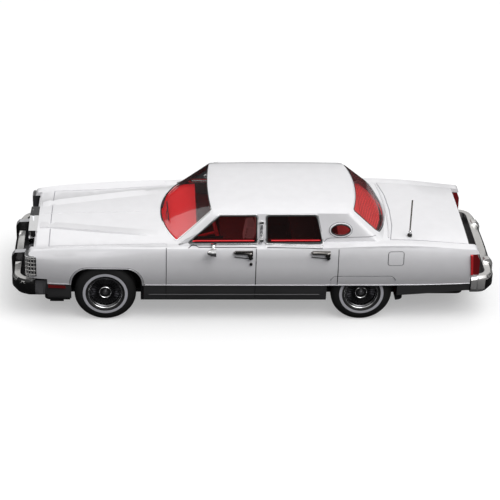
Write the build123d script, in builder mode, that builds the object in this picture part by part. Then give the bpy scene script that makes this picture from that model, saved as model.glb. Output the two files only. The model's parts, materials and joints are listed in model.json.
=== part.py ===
from build123d import *
from collections import namedtuple
from math import hypot
import os

# Scale model of a full-size luxury sedan: a sealed body casting over a baseplate, on two wheelsets.
# Millimetres. +X runs to the car's rear, +Y to its right side, +Z up. The origin is on the ground
# under the middle of the overall length.

# Driving dimensions
scale = 43
overall_length = 143.0
nose_end = -overall_length / 2
tail_end = overall_length / 2
wheelbase = 3231 / scale
front_axle_x = -43.72
rear_axle_x = front_axle_x + wheelbase

# Wheels
tyre_r = 9.0
tyre_outer_y = 22.3
tyre_width = 5.2
rim_r = 4.9
axle_r = 0.75
axle_z = tyre_r
well_gap = 0.9
vane_count = 24

# Body casting
wall = 1.1
floor_z = 7.4
plate_z = 6.2
trim_z = 12.2
waist_z = 20.4
sill_tuck = 0.9
panel_crown = 0.2
nose_x = -63.8
nose_half = 17.5
nose_low_x = -60.5
nose_low_z = 13.9
tail_x = 62.6
tail_half = 18.2
tail_low_x = 63.4
tail_low_z = 14.7
groove_width = 0.26
groove_depth = 0.22
door_lines = (-26.0, 0.0, 24.0)
beyond = 30.0

# Glasshouse, taken at the belt and at the roof edge
belt_z = 24.0
roof_edge_z = 33.2
above_roof_z = 35.4
glass_gap = 0.12
glass_thick = 0.5
frame_width = 0.28
frame_stand = 0.15

# Body stations, front to rear: half widths and heights of the waist line, the fender ridge,
# the gutter inside the ridge, the hood or deck edge, and the height of the centre line
Station = namedtuple("Station", "x waist_y ridge_y ridge_z valley_y valley_z edge_y edge_z centre_z")
stations = (
    Station(-65.9, 21.5, 20.1, 22.2, 17.6, 21.9, 7.8, 22.9, 23.0),
    Station(-60.0, 22.5, 20.7, 22.9, 17.7, 22.3, 8.6, 23.5, 23.8),
    Station(-43.7, 23.25, 21.6, 23.85, 18.0, 22.9, 12.2, 24.0, 24.3),
    Station(-26.0, 23.4, 22.3, 24.3, 19.0, 23.8, 16.2, 24.35, 24.7),
    Station(0.0, 23.4, 22.5, 24.4, 20.8, 24.35, 17.6, 24.45, 24.5),
    Station(24.0, 23.4, 22.4, 24.9, 20.6, 24.9, 17.8, 24.95, 25.1),
    Station(39.0, 23.3, 22.0, 25.3, 19.6, 25.05, 18.4, 25.2, 25.35),
    Station(52.0, 22.9, 21.5, 24.75, 18.9, 24.45, 18.0, 24.75, 25.0),
    Station(65.4, 21.9, 20.9, 23.6, 18.2, 23.4, 17.4, 23.7, 23.9),
)


def body_section(s, inset, bottom_z):
    # One closed cross-section of the lower body, drawn in a plane across the car
    with BuildSketch(Plane.YZ.offset(s.x)) as section:
        with BuildLine():
            for side in (1, -1):
                profile = (
                    (s.waist_y - panel_crown, waist_z),
                    ((s.waist_y + s.ridge_y) / 2 + 0.3, (waist_z + s.ridge_z) / 2 - 0.45),
                    (s.ridge_y + 0.45, s.ridge_z - 0.9),
                    (s.ridge_y + 0.22, s.ridge_z - 0.3),
                    (s.ridge_y - 0.38, s.ridge_z),
                    (s.valley_y, s.valley_z),
                    (s.edge_y + (s.valley_y - s.edge_y) * 0.27, (s.edge_z + s.valley_z) / 2),
                    (s.edge_y, s.edge_z),
                )
                drop = (0.3, 0.6, 0.8, 1, 1, 1, 1, 1)
                points = [(side * (y - inset), z - inset * d) for (y, z), d in zip(profile, drop)]
                Polyline(*points)
                low_y = side * (s.waist_y - panel_crown - 0.1 - inset)
                middle = (side * (s.waist_y - inset), (trim_z + waist_z) / 2)
                ThreePointArc((low_y, trim_z), middle, points[0])
                Line((side * (s.waist_y - sill_tuck - inset), bottom_z), (low_y, trim_z))
            ThreePointArc(
                (s.edge_y - inset, s.edge_z - inset),
                (0, s.centre_z - inset),
                (inset - s.edge_y, s.edge_z - inset),
            )
            sill_y = s.waist_y - sill_tuck - inset
            Line((-sill_y, bottom_z), (sill_y, bottom_z))
        make_face()
    return section.sketch


def lower_body(inset=0.0, bottom_z=floor_z):
    # The lower body as a solid, drawn in by inset on every face but the bottom
    with BuildPart() as lower:
        loft([body_section(s, inset, bottom_z) for s in stations])
    return lower.part


def hollow(bottom_z=4.0):
    # The room inside the lower body, a plainer form that keeps the wall's thickness
    with BuildPart() as room:
        for s in stations[::2]:
            with BuildSketch(Plane.YZ.offset(s.x)):
                with BuildLine():
                    right = (
                        (s.waist_y - sill_tuck - wall, bottom_z),
                        (s.waist_y - wall - 0.1, trim_z),
                        (s.waist_y - wall, waist_z - 0.4),
                        (s.ridge_y - wall + 0.2, s.ridge_z - wall - 0.4),
                        (s.valley_y - wall, s.valley_z - wall - 0.1),
                        (s.edge_y - wall, s.edge_z - wall - 0.1),
                    )
                    left = [(-y, z) for y, z in reversed(right)]
                    Polyline(*right, *left, close=True)
                make_face()
        loft(ruled=True)
    return room.part


def house_corners(z, inset):
    # Plan corners of the glasshouse at height z: front middle, front side, rear side, rear middle
    t = (z - belt_z) / (roof_edge_z - belt_z)
    front_x = -28.6 + 14.7 * t + inset
    front_side = (-21.8 + 9.5 * t + inset, 20.76 - 3.39 * t - inset)
    rear_side = (38.25 - 10.45 * t - inset, 20.0 - 3.138 * t - inset)
    rear_x = 40.4 - 10.05 * t - inset
    return front_x, front_side, rear_side, rear_x


def house_outline(z, inset):
    # The glasshouse in plan at height z, bowed at the front and rear
    front_x, (front_side_x, front_y), (rear_side_x, rear_y), rear_x = house_corners(z, inset)
    with BuildSketch(Plane.XY.offset(z)) as outline:
        with BuildLine():
            ThreePointArc((front_side_x, -front_y), (front_x, 0), (front_side_x, front_y))
            ThreePointArc((rear_side_x, -rear_y), (rear_x, 0), (rear_side_x, rear_y))
            for side in (1, -1):
                Line((front_side_x, side * front_y), (rear_side_x, side * rear_y))
        make_face()
        fillet(outline.vertices().group_by(Axis.X)[0], radius=2.0 - inset / 2)
        fillet(outline.vertices().group_by(Axis.X)[-1], radius=3.2 - inset / 2)
    return outline.sketch


def crown(drop):
    # Everything under the crowned roof, whose cross-section turns down at the sides
    with BuildPart() as under:
        for x, top_z in ((-32, 31.2), (-12, 33.65), (10, 34.0), (30, 33.75), (46, 32.4)):
            middle_z = top_z - drop
            with BuildSketch(Plane.YZ.offset(x)):
                with BuildLine():
                    top = ThreePointArc((14, middle_z - 0.35), (0, middle_z), (-14, middle_z - 0.35))
                    for end, side in ((0, 1), (1, -1)):
                        turn = TangentArc(top @ end, (side * 19.5, middle_z - 2.6), tangent=(side, -0.05))
                        Line(turn @ 1, (side * 19.5, 15))
                    Line((19.5, 15), (-19.5, 15))
                make_face()
        loft()
    return under.part


def glasshouse():
    # The upper body as a solid, from inside the lower body up to the crowned roof
    with BuildPart() as house:
        loft([house_outline(z, 0.0) for z in (23.0, above_roof_z)], ruled=True)
        add(crown(0.0), mode=Mode.INTERSECT)
    return house.part


def cabin_room(inset, bottom_z):
    # The room under the roof, with flat walls that follow the glasshouse
    with BuildPart() as room:
        for z in (bottom_z, roof_edge_z - inset):
            front_x, front_side, rear_side, rear_x = house_corners(z, inset)
            plan = [(front_x, 0), front_side, rear_side, (rear_x, 0)]
            mirrored = [(x, -y) for x, y in (rear_side, front_side)]
            with BuildSketch(Plane.XY.offset(z)):
                with BuildLine():
                    Polyline(*plan, *mirrored, close=True)
                make_face()
        loft(ruled=True)
    return room.part


# Planes of the side wall, the windscreen and the rear window, each with its own up direction
front_x, (front_side_x, front_y), (rear_side_x, rear_y), rear_x = house_corners(belt_z, 0)
roof_front_x, (roof_side_x, roof_y), roof_rear_side, roof_rear_x = house_corners(roof_edge_z, 0)
rise = roof_edge_z - belt_z
wall_taper = (front_y - rear_y) / (rear_side_x - front_side_x)
wall_lean = (front_y - wall_taper * (roof_side_x - front_side_x) - roof_y) / rise
wall_plane = Plane(
    origin=(0, -front_y - wall_taper * front_side_x, belt_z),
    x_dir=(1, wall_taper, 0),
    z_dir=(wall_taper, -1, wall_lean),
)
screen_plane = Plane(origin=(front_x, 0, belt_z), x_dir=(0, -1, 0), z_dir=(-rise, 0, roof_front_x - front_x))
backlight_plane = Plane(origin=(rear_x, 0, belt_z), x_dir=(0, 1, 0), z_dir=(rise, 0, rear_x - roof_rear_x))
wall_slope = hypot(1, wall_lean)


def up_wall(z):
    # Distance up the leaning side wall of a point at height z
    return (z - belt_z) * wall_slope


def prism(plane, outline, near, far):
    # An outline in a plane turned into a prism between two distances along the plane's normal
    with BuildPart() as solid:
        with BuildSketch(plane.offset(near)):
            add(outline)
        extrude(amount=far - near)
    return solid.part


def side_prism(outline, near_y=14.0, far_y=26.0):
    # A side-view outline turned into a prism through the left wall
    return prism(Plane.XZ, outline, near_y, far_y)


def polygon(points, radius=0.0, grow=0.0):
    # A closed outline, with its corners rounded and its size grown if asked
    with BuildSketch() as outline:
        with BuildLine():
            Polyline(*points, close=True)
        make_face()
        if radius:
            fillet(outline.vertices(), radius=radius)
        if grow:
            offset(amount=grow)
    return outline.sketch


def bowed(low_half, low_end, low_middle, top_half, top_end, top_middle, low_radius, grow=0.0):
    # A screen opening, bowed along its top and bottom
    with BuildSketch() as outline:
        with BuildLine():
            low = ThreePointArc((-low_half, low_end), (0, low_middle), (low_half, low_end))
            top = ThreePointArc((-top_half, top_end), (0, top_middle), (top_half, top_end))
            Line(low @ 0, top @ 0)
            Line(low @ 1, top @ 1)
        make_face()
        fillet(outline.vertices().group_by(Axis.Y)[0], radius=low_radius)
        fillet(outline.vertices().group_by(Axis.Y)[-1], radius=0.6)
        if grow:
            offset(amount=grow)
    return outline.sketch


def block(x0, x1, y0, y1, z0, z1, radius=0.0):
    # A rectangular block between two corners, with its upright corners rounded if asked
    with BuildPart() as solid:
        with BuildSketch(Plane.XY.offset(z0)):
            with Locations(((x0 + x1) / 2, (y0 + y1) / 2)):
                if radius:
                    RectangleRounded(x1 - x0, y1 - y0, radius)
                else:
                    Rectangle(x1 - x0, y1 - y0)
        extrude(amount=z1 - z0)
    return solid.part


def opposite(part):
    # The same piece on the car's other side
    with BuildPart() as other:
        mirror(part, about=Plane.XZ)
    return other.part


def both(*parts):
    # The given pieces with their opposites
    return list(parts) + [opposite(part) for part in parts]


def common(*parts):
    # What all the given solids share
    with BuildPart() as shared:
        add(parts[0])
        for part in parts[1:]:
            add(part, mode=Mode.INTERSECT)
    return shared.part


def minus(base, *tools):
    # The first solid with the others taken away
    with BuildPart() as rest:
        add(base)
        for tool in tools:
            add(tool, mode=Mode.SUBTRACT)
    return rest.part


def joined(*parts):
    # Several solids as one piece
    with BuildPart() as whole:
        for part in parts:
            add(part)
    return whole.part


def finish(label, part):
    # Label a piece and write its file
    part.label = label
    export_step(part, f"parts/{label}.step")


def finish_pair(label, left):
    # Write a left piece and its opposite
    finish(f"{label}_left", left)
    finish(f"{label}_right", opposite(left))


os.makedirs("parts", exist_ok=True)

# Skins that the outer pieces follow
body_outer = lower_body()
body_inner = hollow()
body_groove = lower_body(groove_depth, 5.0)
house_outer = glasshouse()
house_inner = cabin_room(wall, 20.0)

# Window outlines: side windows in the wall plane, screens in their own planes
glass_low = up_wall(25.0)
glass_top = up_wall(32.3)
front_window = ((-19.6, glass_low), (0.1, glass_low), (0.1, glass_top), (-10.4, glass_top))
rear_side_window = ((3.2, glass_low), (19.3, glass_low), (17.5, glass_top), (3.2, glass_top))
windows = (front_window, rear_side_window)
window_r = 0.8
sill_drop = 0.75
opera_x = 24.65
opera_v = up_wall(28.35)
opera_half = (2.7, 1.4)
opera_rim = 0.45
screen = (17.9, 5.0, 1.35, 15.2, 17.9, 17.35)
backlight = (16.4, 5.0, 1.65, 15.0, 14.85, 13.7)
screen_r = 0.7
backlight_r = 1.5


def opera(grow=0.0):
    with BuildSketch() as oval:
        with Locations((opera_x, opera_v)):
            Ellipse(opera_half[0] + grow, opera_half[1] + grow)
    return oval.sketch


def window_with_sill(points):
    # The outside of a window frame, with the deeper band along its lower edge
    (x0, low), (x1, _), (x2, top), (x3, _) = points
    w = frame_width
    lean = (x3 - x0) / (top - low)
    slant = hypot(1, lean)
    low_front = (x0 - lean * sill_drop - w * slant, low - sill_drop)
    top_front = (x3 - w * (slant - lean), top + w)
    return polygon((low_front, (x1 + w, low - sill_drop), (x2 + w, top + w), top_front), window_r)


window_small = [polygon(points, window_r) for points in windows]
window_big = [window_with_sill(points) for points in windows]
opening_big = [prism(wall_plane, outline, -4, 2) for outline in window_big + [opera(opera_rim)]]
screen_big = prism(screen_plane, bowed(*screen, screen_r, frame_width), -5, 3)
backlight_big = prism(backlight_plane, bowed(*backlight, backlight_r, frame_width), -5, 3)

# Wheel openings
arch_top_z = 17.7
front_arch = ((-54.1, 4.0), (-53.2, arch_top_z), (-33.4, arch_top_z), (-32.2, 4.0))
front_arch_cut = side_prism(polygon(front_arch, 4.9), 12)
skirt = ((20.8, 8.0), (42.0, 8.0), (40.4, 15.4), (22.6, 15.4))


def wheel_well(x):
    with BuildSketch() as well:
        with Locations((x, axle_z)):
            Circle(tyre_r + well_gap)
    return side_prism(well.sketch, 13, 22.7)


wells = [wheel_well(front_axle_x), wheel_well(rear_axle_x)]


def line_across(x):
    # The cutter for an upright shut line in the left side
    return block(x - groove_width / 2, x + groove_width / 2, -26, -19, trim_z, 24.2)


def ring(points, radius):
    # A thin closed outline in side view
    inner = side_prism(polygon(points, radius), 19)
    outer = side_prism(polygon(points, radius, groove_width), 19)
    return minus(outer, inner)


def plan_line(points):
    # A thin upright wall along a line in plan, for the shut lines of the hood and deck lid
    with BuildPart() as line_wall:
        with BuildSketch(Plane.XY.offset(20)):
            with BuildLine():
                Polyline(*points)
            trace(line_width=groove_width)
        extrude(amount=8)
    return line_wall.part


side_lines = [line_across(x) for x in door_lines]
side_lines.append(minus(ring(skirt, 1.4), block(18, 45, -30, -10, 5, trim_z)))
fuel_door = ring(((38.65, 19.2), (42.95, 19.2), (42.95, 23.2), (38.65, 23.2)), 0.6)
hood_line = [(-26, -18.9), (-43.7, -18.0), (-60, -17.7), (-60, 17.7), (-43.7, 18.0), (-26, 18.9)]
lid_line = [(62.2, -18.2), (39.4, -18.6), (40.8, -10), (41.2, 0), (40.8, 10), (39.4, 18.6), (62.2, 18.2)]
grooves = minus(
    joined(*both(*side_lines), fuel_door, plan_line(hood_line), plan_line(lid_line)),
    body_groove,
)

# Body casting
lamp_z = (15.7, 20.9)
nose_pocket = block(-70, nose_x, -nose_half, nose_half, 13.2, 30)
tail_pocket = block(tail_x, 70, -tail_half, tail_half, 12.0, 30)
lamp_pocket = block(-70, -64.1, -26, -nose_half + 0.1, *lamp_z)
tail_lamp_shape = ((63.3, 15.2), (66.6, 15.2), (66.6, 22.0), (62.7, 22.0))
tail_lamp_pocket = side_prism(polygon(tail_lamp_shape), tail_half)
end_r = 1.6


def corner_cutter(plane, centre, out_x, up, near, far):
    # What to take off a square fender end to round it, in a plane with x along the car
    with BuildSketch() as scrap:
        with Locations((centre[0] + out_x * end_r, centre[1] + up * end_r)):
            Rectangle(2 * end_r, 2 * end_r)
        with Locations(centre):
            Circle(end_r, mode=Mode.SUBTRACT)
    return prism(plane, scrap.sketch, near, far)


fender_ends = [
    corner_cutter(Plane.XZ, (-65.9 + end_r, 22.2 - end_r), -1, 1, nose_half, 26),
    corner_cutter(Plane.XY, (-65.9 + end_r, -21.55 + end_r), -1, -1, 13, 30),
    corner_cutter(Plane.XZ, (65.4 - end_r, 23.55 - end_r), 1, 1, 10, 26),
]
left_openings = opening_big + [front_arch_cut, lamp_pocket, tail_lamp_pocket] + wells + fender_ends
nose_panel = common(block(nose_x, nose_x + wall, -21.0, 21.0, nose_low_z, 30), body_inner)
tail_panel = common(block(tail_x - wall, tail_x, -20.4, 20.4, trim_z, 30), body_inner)
body_shell = minus(
    joined(body_outer, house_outer),
    body_inner,
    house_inner,
    screen_big,
    backlight_big,
    nose_pocket,
    tail_pocket,
    *both(*left_openings),
    block(-80, 80, -beyond, beyond, 0, trim_z),
    block(-80, nose_low_x, -beyond, beyond, 0, nose_low_z),
    block(tail_low_x, 80, -beyond, beyond, 0, tail_low_z),
)
body_shell = minus(joined(body_shell, nose_panel, tail_panel), grooves)
finish("body_shell", body_shell)


def house_block(inset):
    # The glasshouse without its crown, drawn in by inset
    with BuildPart() as solid:
        loft([house_outline(z, inset) for z in (21.0, roof_edge_z + 0.6)], ruled=True)
    return solid.part


# Glass
glass_skin = minus(house_block(glass_gap), house_block(glass_gap + glass_thick))
screen_small = prism(screen_plane, bowed(*screen, screen_r), -5, 3)
backlight_small = prism(backlight_plane, bowed(*backlight, backlight_r), -5, 3)
finish("windscreen", common(glass_skin, screen_small))
finish("rear_window", common(glass_skin, backlight_small))
pane_near = -glass_gap - glass_thick
panes = [prism(wall_plane, outline, pane_near, -glass_gap) for outline in window_small + [opera()]]
finish_pair("side_glass", joined(*panes))

# Bright frames of the windows and screens
frame_skin = minus(house_block(-frame_stand), house_block(0.9))
screen_frame = common(frame_skin, minus(screen_big, screen_small))
finish("windscreen_frame", screen_frame)
finish("rear_window_frame", common(frame_skin, minus(backlight_big, backlight_small)))
frame_inside = -0.9
frames = []
for big, small in zip(window_big + [opera(opera_rim)], window_small + [opera()]):
    outside = prism(wall_plane, big, frame_inside, frame_stand)
    frames.append(minus(outside, prism(wall_plane, small, frame_inside - 1, frame_stand + 1)))
finish_pair("window_frames", joined(*frames))

# Coach lamps on the centre pillars: a lens strip between two round caps
coach_x = 1.55
coach_low = up_wall(25.5)
coach_top = up_wall(30.4)
with BuildPart() as coach_lamp:
    with BuildSketch(wall_plane):
        with Locations((coach_x, (coach_low + coach_top) / 2)):
            Rectangle(0.9, coach_top - coach_low)
    extrude(amount=0.4)
    with BuildSketch(wall_plane):
        with Locations((coach_x, coach_low), (coach_x, coach_top)):
            Circle(0.65)
    extrude(amount=0.65)
finish_pair("coach_lamp", coach_lamp.part)

# Wipers resting against the foot of the windscreen, their pivots on the cowl
wiper_skin = minus(house_block(-0.4), house_block(0.02))


def wiper(blade_middle, blade_v, pivot_u):
    with BuildSketch() as blade_and_arm:
        with Locations((blade_middle, blade_v)):
            Rectangle(11.0, 0.4)
        with BuildLine():
            Line((pivot_u, 0.7), (blade_middle, blade_v))
        trace(line_width=0.3)
    return blade_and_arm.sketch


wiper_shapes = (wiper(-0.5, 3.2, 5.5), wiper(2.0, 2.3, -3.0))
wiper_blades = [common(wiper_skin, prism(screen_plane, shape, -3, 2)) for shape in wiper_shapes]
with BuildPart() as pivots:
    with Locations((-27.8, -5.5, 24.0), (-28.2, 3.0, 24.0)):
        Cylinder(0.4, 1.0, align=(Align.CENTER, Align.CENTER, Align.MIN))
finish("wipers", minus(joined(*wiper_blades, pivots.part), body_outer, house_outer, screen_frame))

# Lower mouldings between and behind the wheel openings, the last one rising to the tail
moulding_skin = minus(body_outer, lower_body(1.0, 4.0))
behind_wheel_x = 41.8
rising_edge = ((behind_wheel_x, 8.7), (tail_low_x, 10.0))
rear_mould = side_prism(polygon((*rising_edge, (tail_low_x, trim_z), (behind_wheel_x, trim_z))), 10, beyond)
mouldings = common(
    moulding_skin,
    joined(
        block(nose_low_x, -53.6, -beyond, -10, floor_z, trim_z),
        block(-32.5, 21.0, -beyond, -10, floor_z, trim_z),
        rear_mould,
    ),
)
finish_pair("sill_moulding", mouldings)


# Bumpers
bar_thick = 2.2


def bumper(middle_x, bow, root_x, half, corner_r, z0, z1):
    # A bowed bar, open behind, its face chamfered above and below and its ends wrapped round
    out = 1 if middle_x > 0 else -1
    end_x = middle_x - out * bow
    with BuildPart() as bar:
        for z, inset in ((z0, 1.1), (z0 + 1.6, 0.0), (z1 - 1.1, 0.0), (z1, 0.8)):
            side = half - inset
            corner_x = end_x - out * inset
            with BuildSketch(Plane.XY.offset(z)) as plan:
                with BuildLine():
                    ThreePointArc((corner_x, -side), (middle_x - out * inset, 0), (corner_x, side))
                    Polyline((corner_x, side), (root_x, side), (root_x, -side), (corner_x, -side))
                make_face()
                fillet(plan.vertices().group_by(Axis.X)[-1 if out > 0 else 0], radius=corner_r - inset)
        loft(ruled=True)
    low_x, high_x = sorted((root_x - out * 4, end_x - out * bar_thick))
    room = block(low_x, high_x, bar_thick - half, half - bar_thick, z0 - 1, z1 + 1, corner_r - bar_thick)
    return minus(bar.part, room)


def guard(tip_x, y, z0, z1):
    # An upright guard on the bumper's face, its top rounded off
    out = 1 if tip_x > 0 else -1
    root_x = tip_x - out * 2.8
    front = ((tip_x - out * 0.5, z0), (tip_x, z0 + 1), (tip_x, z1 - 1.4), (tip_x - out * 1.1, z1))
    outline = ((root_x, z0), *front, (root_x, z1))
    return prism(Plane.XZ.offset(-y), polygon(outline), -0.95, 0.95)


front_guard_y = 9.7
rear_guard_y = 11.9
front_bar = bumper(nose_end + 0.2, 0.5, -64.0, 22.2, 5.5, 8.2, 13.3)
front_guards = [guard(nose_end, y, 8.6, 16.2) for y in (-front_guard_y, front_guard_y)]
finish("front_bumper", joined(front_bar, *front_guards))
rear_bar = bumper(tail_end - 0.2, 0.8, 63.7, 22.2, 5.0, 9.1, 14.6)
rear_guards = [guard(tail_end, y, 9.4, 15.6) for y in (-rear_guard_y, rear_guard_y)]
cap_seams = both(block(65.4, 65.6, -22.4, -22.0, 9.0, 15.0))
finish("rear_bumper", minus(joined(rear_bar, *rear_guards), *cap_seams))

# Grille: a gabled shell round a pattern of upright bars
grille_half = 7.8
grille_front_x = -66.5
grille_low_z = 13.4
bar_pitch = 1.0
grille_side_z = 22.1
gable = (
    (-grille_half, grille_low_z), (grille_half, grille_low_z), (grille_half, grille_side_z),
    (0, 23.1), (-grille_half, grille_side_z),
)
with BuildPart() as grille:
    with BuildSketch(Plane.YZ.offset(grille_front_x)) as shell_face:
        add(polygon(gable))
    extrude(amount=nose_x - grille_front_x)
    with BuildSketch(Plane.YZ.offset(grille_front_x)):
        add(polygon(gable, 0, -0.7))
    extrude(amount=1.9, mode=Mode.SUBTRACT)
    with BuildSketch(Plane.YZ.offset(grille_front_x + 0.4)):
        with GridLocations(bar_pitch, 1, 13, 1):
            with Locations((0, (grille_low_z + 21.6) / 2)):
                Rectangle(0.4, 21.6 - grille_low_z)
    extrude(amount=1.6)
finish("grille", grille.part)
with BuildPart() as ornament:
    with BuildSketch(Plane.XZ):
        with BuildLine():
            Polyline((-65.9, 22.9), (-65.1, 22.9), (-65.3, 23.5), (-65.35, 25.0))
            Polyline((-65.35, 25.0), (-65.65, 25.0), (-65.7, 23.5), (-65.9, 22.9))
        make_face()
    extrude(amount=0.2, both=True)
finish("hood_ornament", minus(ornament.part, grille.part))

# Headlamp doors: plain panels with a raised centre field
door_z = (14.4, 21.6)
door_y = (-17.3, -8.0)
lamp_door = joined(
    block(nose_x - 0.5, nose_x, *door_y, *door_z),
    block(nose_x - 0.8, nose_x - 0.5, door_y[0] + 0.9, door_y[1] - 0.9, door_z[0] + 0.9, door_z[1] - 0.9),
)
finish_pair("headlamp_door", lamp_door)

# Front lamps wrap round the fender ends; rear lamps lean with them
lamp_front_x = -66.4
lamp_rear_x = -64.1
with BuildPart() as front_lamp:
    with BuildSketch(Plane.XY.offset(lamp_z[0])) as lamp_plan:
        with BuildLine():
            Polyline(
                (lamp_rear_x, -21.7), (lamp_front_x, -21.3), (lamp_front_x, -17.4), (lamp_rear_x, -17.4), close=True,
            )
        make_face()
        fillet(lamp_plan.vertices().group_by(Axis.X)[0].sort_by(Axis.Y)[0], radius=1.2)
    extrude(amount=lamp_z[1] - lamp_z[0])
finish_pair("front_lamp", front_lamp.part)
lens = polygon(((63.3, 15.2), (65.8, 15.2), (65.7, 20.2), (64.9, 22.0), (62.7, 22.0)))
finish_pair("tail_lamp", side_prism(lens, tail_half + 0.1, 21.8))
strip_z = (15.6, 21.4)
panel_strip = joined(
    block(tail_x, tail_x + 0.4, -18.0, 18.0, *strip_z),
    block(tail_x + 0.4, tail_x + 0.8, -17.4, 17.4, 19.2, 20.8),
)
finish("rear_panel", panel_strip)
finish("front_filler", block(-68.6, -58.5, -20.0, 20.0, floor_z, trim_z, 3.4))
finish("rear_filler", block(59.0, 68.3, -20.0, 20.0, floor_z + 1.6, trim_z, 3.0))

# Door handles: a pull bar with a round push button at its rear end, and a key lock on the front door
handle_y = 23.95
handles = []
for rear_end_x in (-1.0, 21.5):
    pull = ((-5.6, 23.35), (-5.0, 23.0), (0, 23.0), (0, 23.75), (-5.0, 23.7))
    outline = polygon([(rear_end_x + x, z) for x, z in pull])
    with BuildSketch() as button:
        with Locations((rear_end_x - 0.75, 22.75)):
            Circle(0.75)
    handles.append(joined(side_prism(outline, 21, handle_y), side_prism(button.sketch, 21, handle_y + 0.1)))
with BuildSketch() as key_lock:
    with Locations((-1.44, 19.6)):
        Circle(0.45)
handles.append(side_prism(key_lock.sketch, 22.4, 23.6))
left_handles = minus(joined(*handles), body_outer)
finish("door_handles", joined(left_handles, opposite(left_handles)))

# Door mirrors: a foot on the window sill, an arm and a cup that faces aft
cup_y = -25.0
cup_z = 24.05
with BuildPart() as cup:
    with BuildSketch(Plane.XZ.offset(-cup_y)):
        with BuildLine():
            outside = ((-14.3, 0), (-14.3, 0.4), (-13.2, 1.0), (-11.7, 1.15))
            recess = ((-11.7, 0.9), (-12.0, 0.9), (-12.0, 0))
            Polyline(*[(x, cup_z + r) for x, r in outside + recess], close=True)
        make_face()
    revolve(axis=Axis((0, cup_y, cup_z), (1, 0, 0)))
arm_outline = polygon(((-21.6, 24.9), (-24.3, 24.4), (-24.3, 23.8), (-21.6, 24.0)))
arm = prism(Plane.YZ.offset(-12.9), arm_outline, 0, 0.8)
foot = block(-13.1, -11.5, -21.8, -20.2, 24.0, 25.0)
window_frame = prism(wall_plane, window_big[0], -4, frame_stand)
door_mirror = minus(joined(cup.part, arm, foot), body_outer, house_outer, window_frame)
finish_pair("door_mirror", door_mirror)

# Aerial with its ball and collar
with BuildPart() as antenna:
    with Locations((45.3, -16.3, 24.3)):
        Cylinder(0.6, 1.0, align=(Align.CENTER, Align.CENTER, Align.MIN))
        Cylinder(0.36, 1.8, align=(Align.CENTER, Align.CENTER, Align.MIN))
        Cylinder(0.22, 12.6, align=(Align.CENTER, Align.CENTER, Align.MIN))
finish("antenna", minus(antenna.part, body_outer))

# Interior tub: floor, side trims with their door tops, and the shelf behind the rear seat
tub_x = (-17.2, 27.0)
tub_half = 20.4
tub_wall = 0.6
rail_y = (17.6, 18.5)
well_half_length = 10.3
tyre_room = [
    block(rear_axle_x - well_half_length, rear_axle_x + well_half_length, *y_range, 0, 19.3)
    for y_range in ((-23.6, -16.4), (16.4, 23.6))
]
tail_slope = block(20.9, 60, -beyond, beyond, 0, 11.0)
trims = both(
    block(*tub_x, -tub_half, -rail_y[0], 21.8, 22.4),
    block(*tub_x, -rail_y[1], -rail_y[0], 22.4, 24.9),
)
tub = joined(
    minus(
        block(*tub_x, -tub_half, tub_half, floor_z, 22.4),
        block(tub_x[0] + 1, tub_x[1] - 1, tub_wall - tub_half, tub_half - tub_wall, 9.6, 30),
        block(tub_x[0] - 1, tub_x[0] + 1, tub_wall - tub_half, tub_half - tub_wall, 18.0, 30),
    ),
    *trims,
    block(26.5, 36.6, -17.2, 17.2, 22.4, 23.6),
)
finish("interior_tub", minus(tub, *tyre_room, tail_slope))


def bench(x0, x1, back_x, seat_z, back_z, half):
    # A bench seat: a cushion, then a raked backrest
    outline = (
        (x0, 9.6), (x0, seat_z), (back_x, seat_z), (back_x + 2.2, back_z), (x1 + 0.8, back_z), (x1, 9.6),
    )
    with BuildPart() as seat:
        with BuildSketch(Plane.XZ):
            add(polygon(outline))
        extrude(amount=half, both=True)
        chamfer(seat.edges().filter_by(Axis.Y).group_by(Axis.Z)[-1], length=0.6)
    return seat.part


headrests = both(block(0.9, 2.7, -12.2, -6.0, 23.8, 27.3, 0.6))
finish("front_seat", joined(bench(-9.5, 2.5, -1.5, 16.0, 24.0, 17.5), *headrests))
finish("rear_seat", minus(bench(12.0, 24.9, 19.4, 16.0, 23.6, 17.4), *tyre_room, tail_slope))
dash_outline = ((-24.5, 19.0), (-24.5, 23.6), (-18.4, 23.8), (-17.2, 22.6), (-17.2, 20.4), (-18.6, 19.0))
dash_block = prism(Plane.XZ, polygon(dash_outline), -19.6, 19.6)
dashboard = common(dash_block, cabin_room(wall + 0.1, 15.0))
finish("dashboard", dashboard)
with BuildPart() as steering_wheel:
    with BuildSketch(Plane((-10.9, -9.0, 22.6), x_dir=(0, 1, 0), z_dir=(-0.96, 0, -0.28))):
        Circle(3.4)
        Circle(2.9, mode=Mode.SUBTRACT)
        with PolarLocations(0, 3, -90):
            with Locations((1.5, 0)):
                Rectangle(3.0, 0.5)
        Circle(0.8)
    extrude(amount=0.5)
    with BuildSketch(Plane((-10.9, -9.0, 22.6), x_dir=(0, 1, 0), z_dir=(-0.96, 0, -0.28))):
        Circle(0.4)
    extrude(amount=7.5)
finish("steering_wheel", minus(steering_wheel.part, dashboard))

# Baseplate with axle saddles, a moulded underside and two plinth screw holes
plate_half = 20.8
screw_pitch = 106.0
screw_x = -53.0
screw_r = 1.0
saddle_y = (13.6, 15.6)
plate_well_y = 16.2


def saddles(x):
    # A pair of axle bearers across one axle
    return both(block(x - 2.4, x + 2.4, -saddle_y[1], -saddle_y[0], plate_z, 10.6))


def plate_wells(x):
    # Room for the tyres at both ends of one axle
    return both(block(x - well_half_length, x + well_half_length, -beyond, -plate_well_y, 0, 20))


def front_liner():
    # The wheel house over a front tyre, open outward and below
    x0, x1 = front_axle_x - well_half_length, front_axle_x + well_half_length
    house_y, side_y = 11.4, 20.4
    box = block(x0 - 0.8, x1 + 0.8, -side_y, -house_y, floor_z, 19.3)
    return minus(box, block(x0, x1, -beyond, -house_y - 0.8, 0, 18.5))


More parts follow.
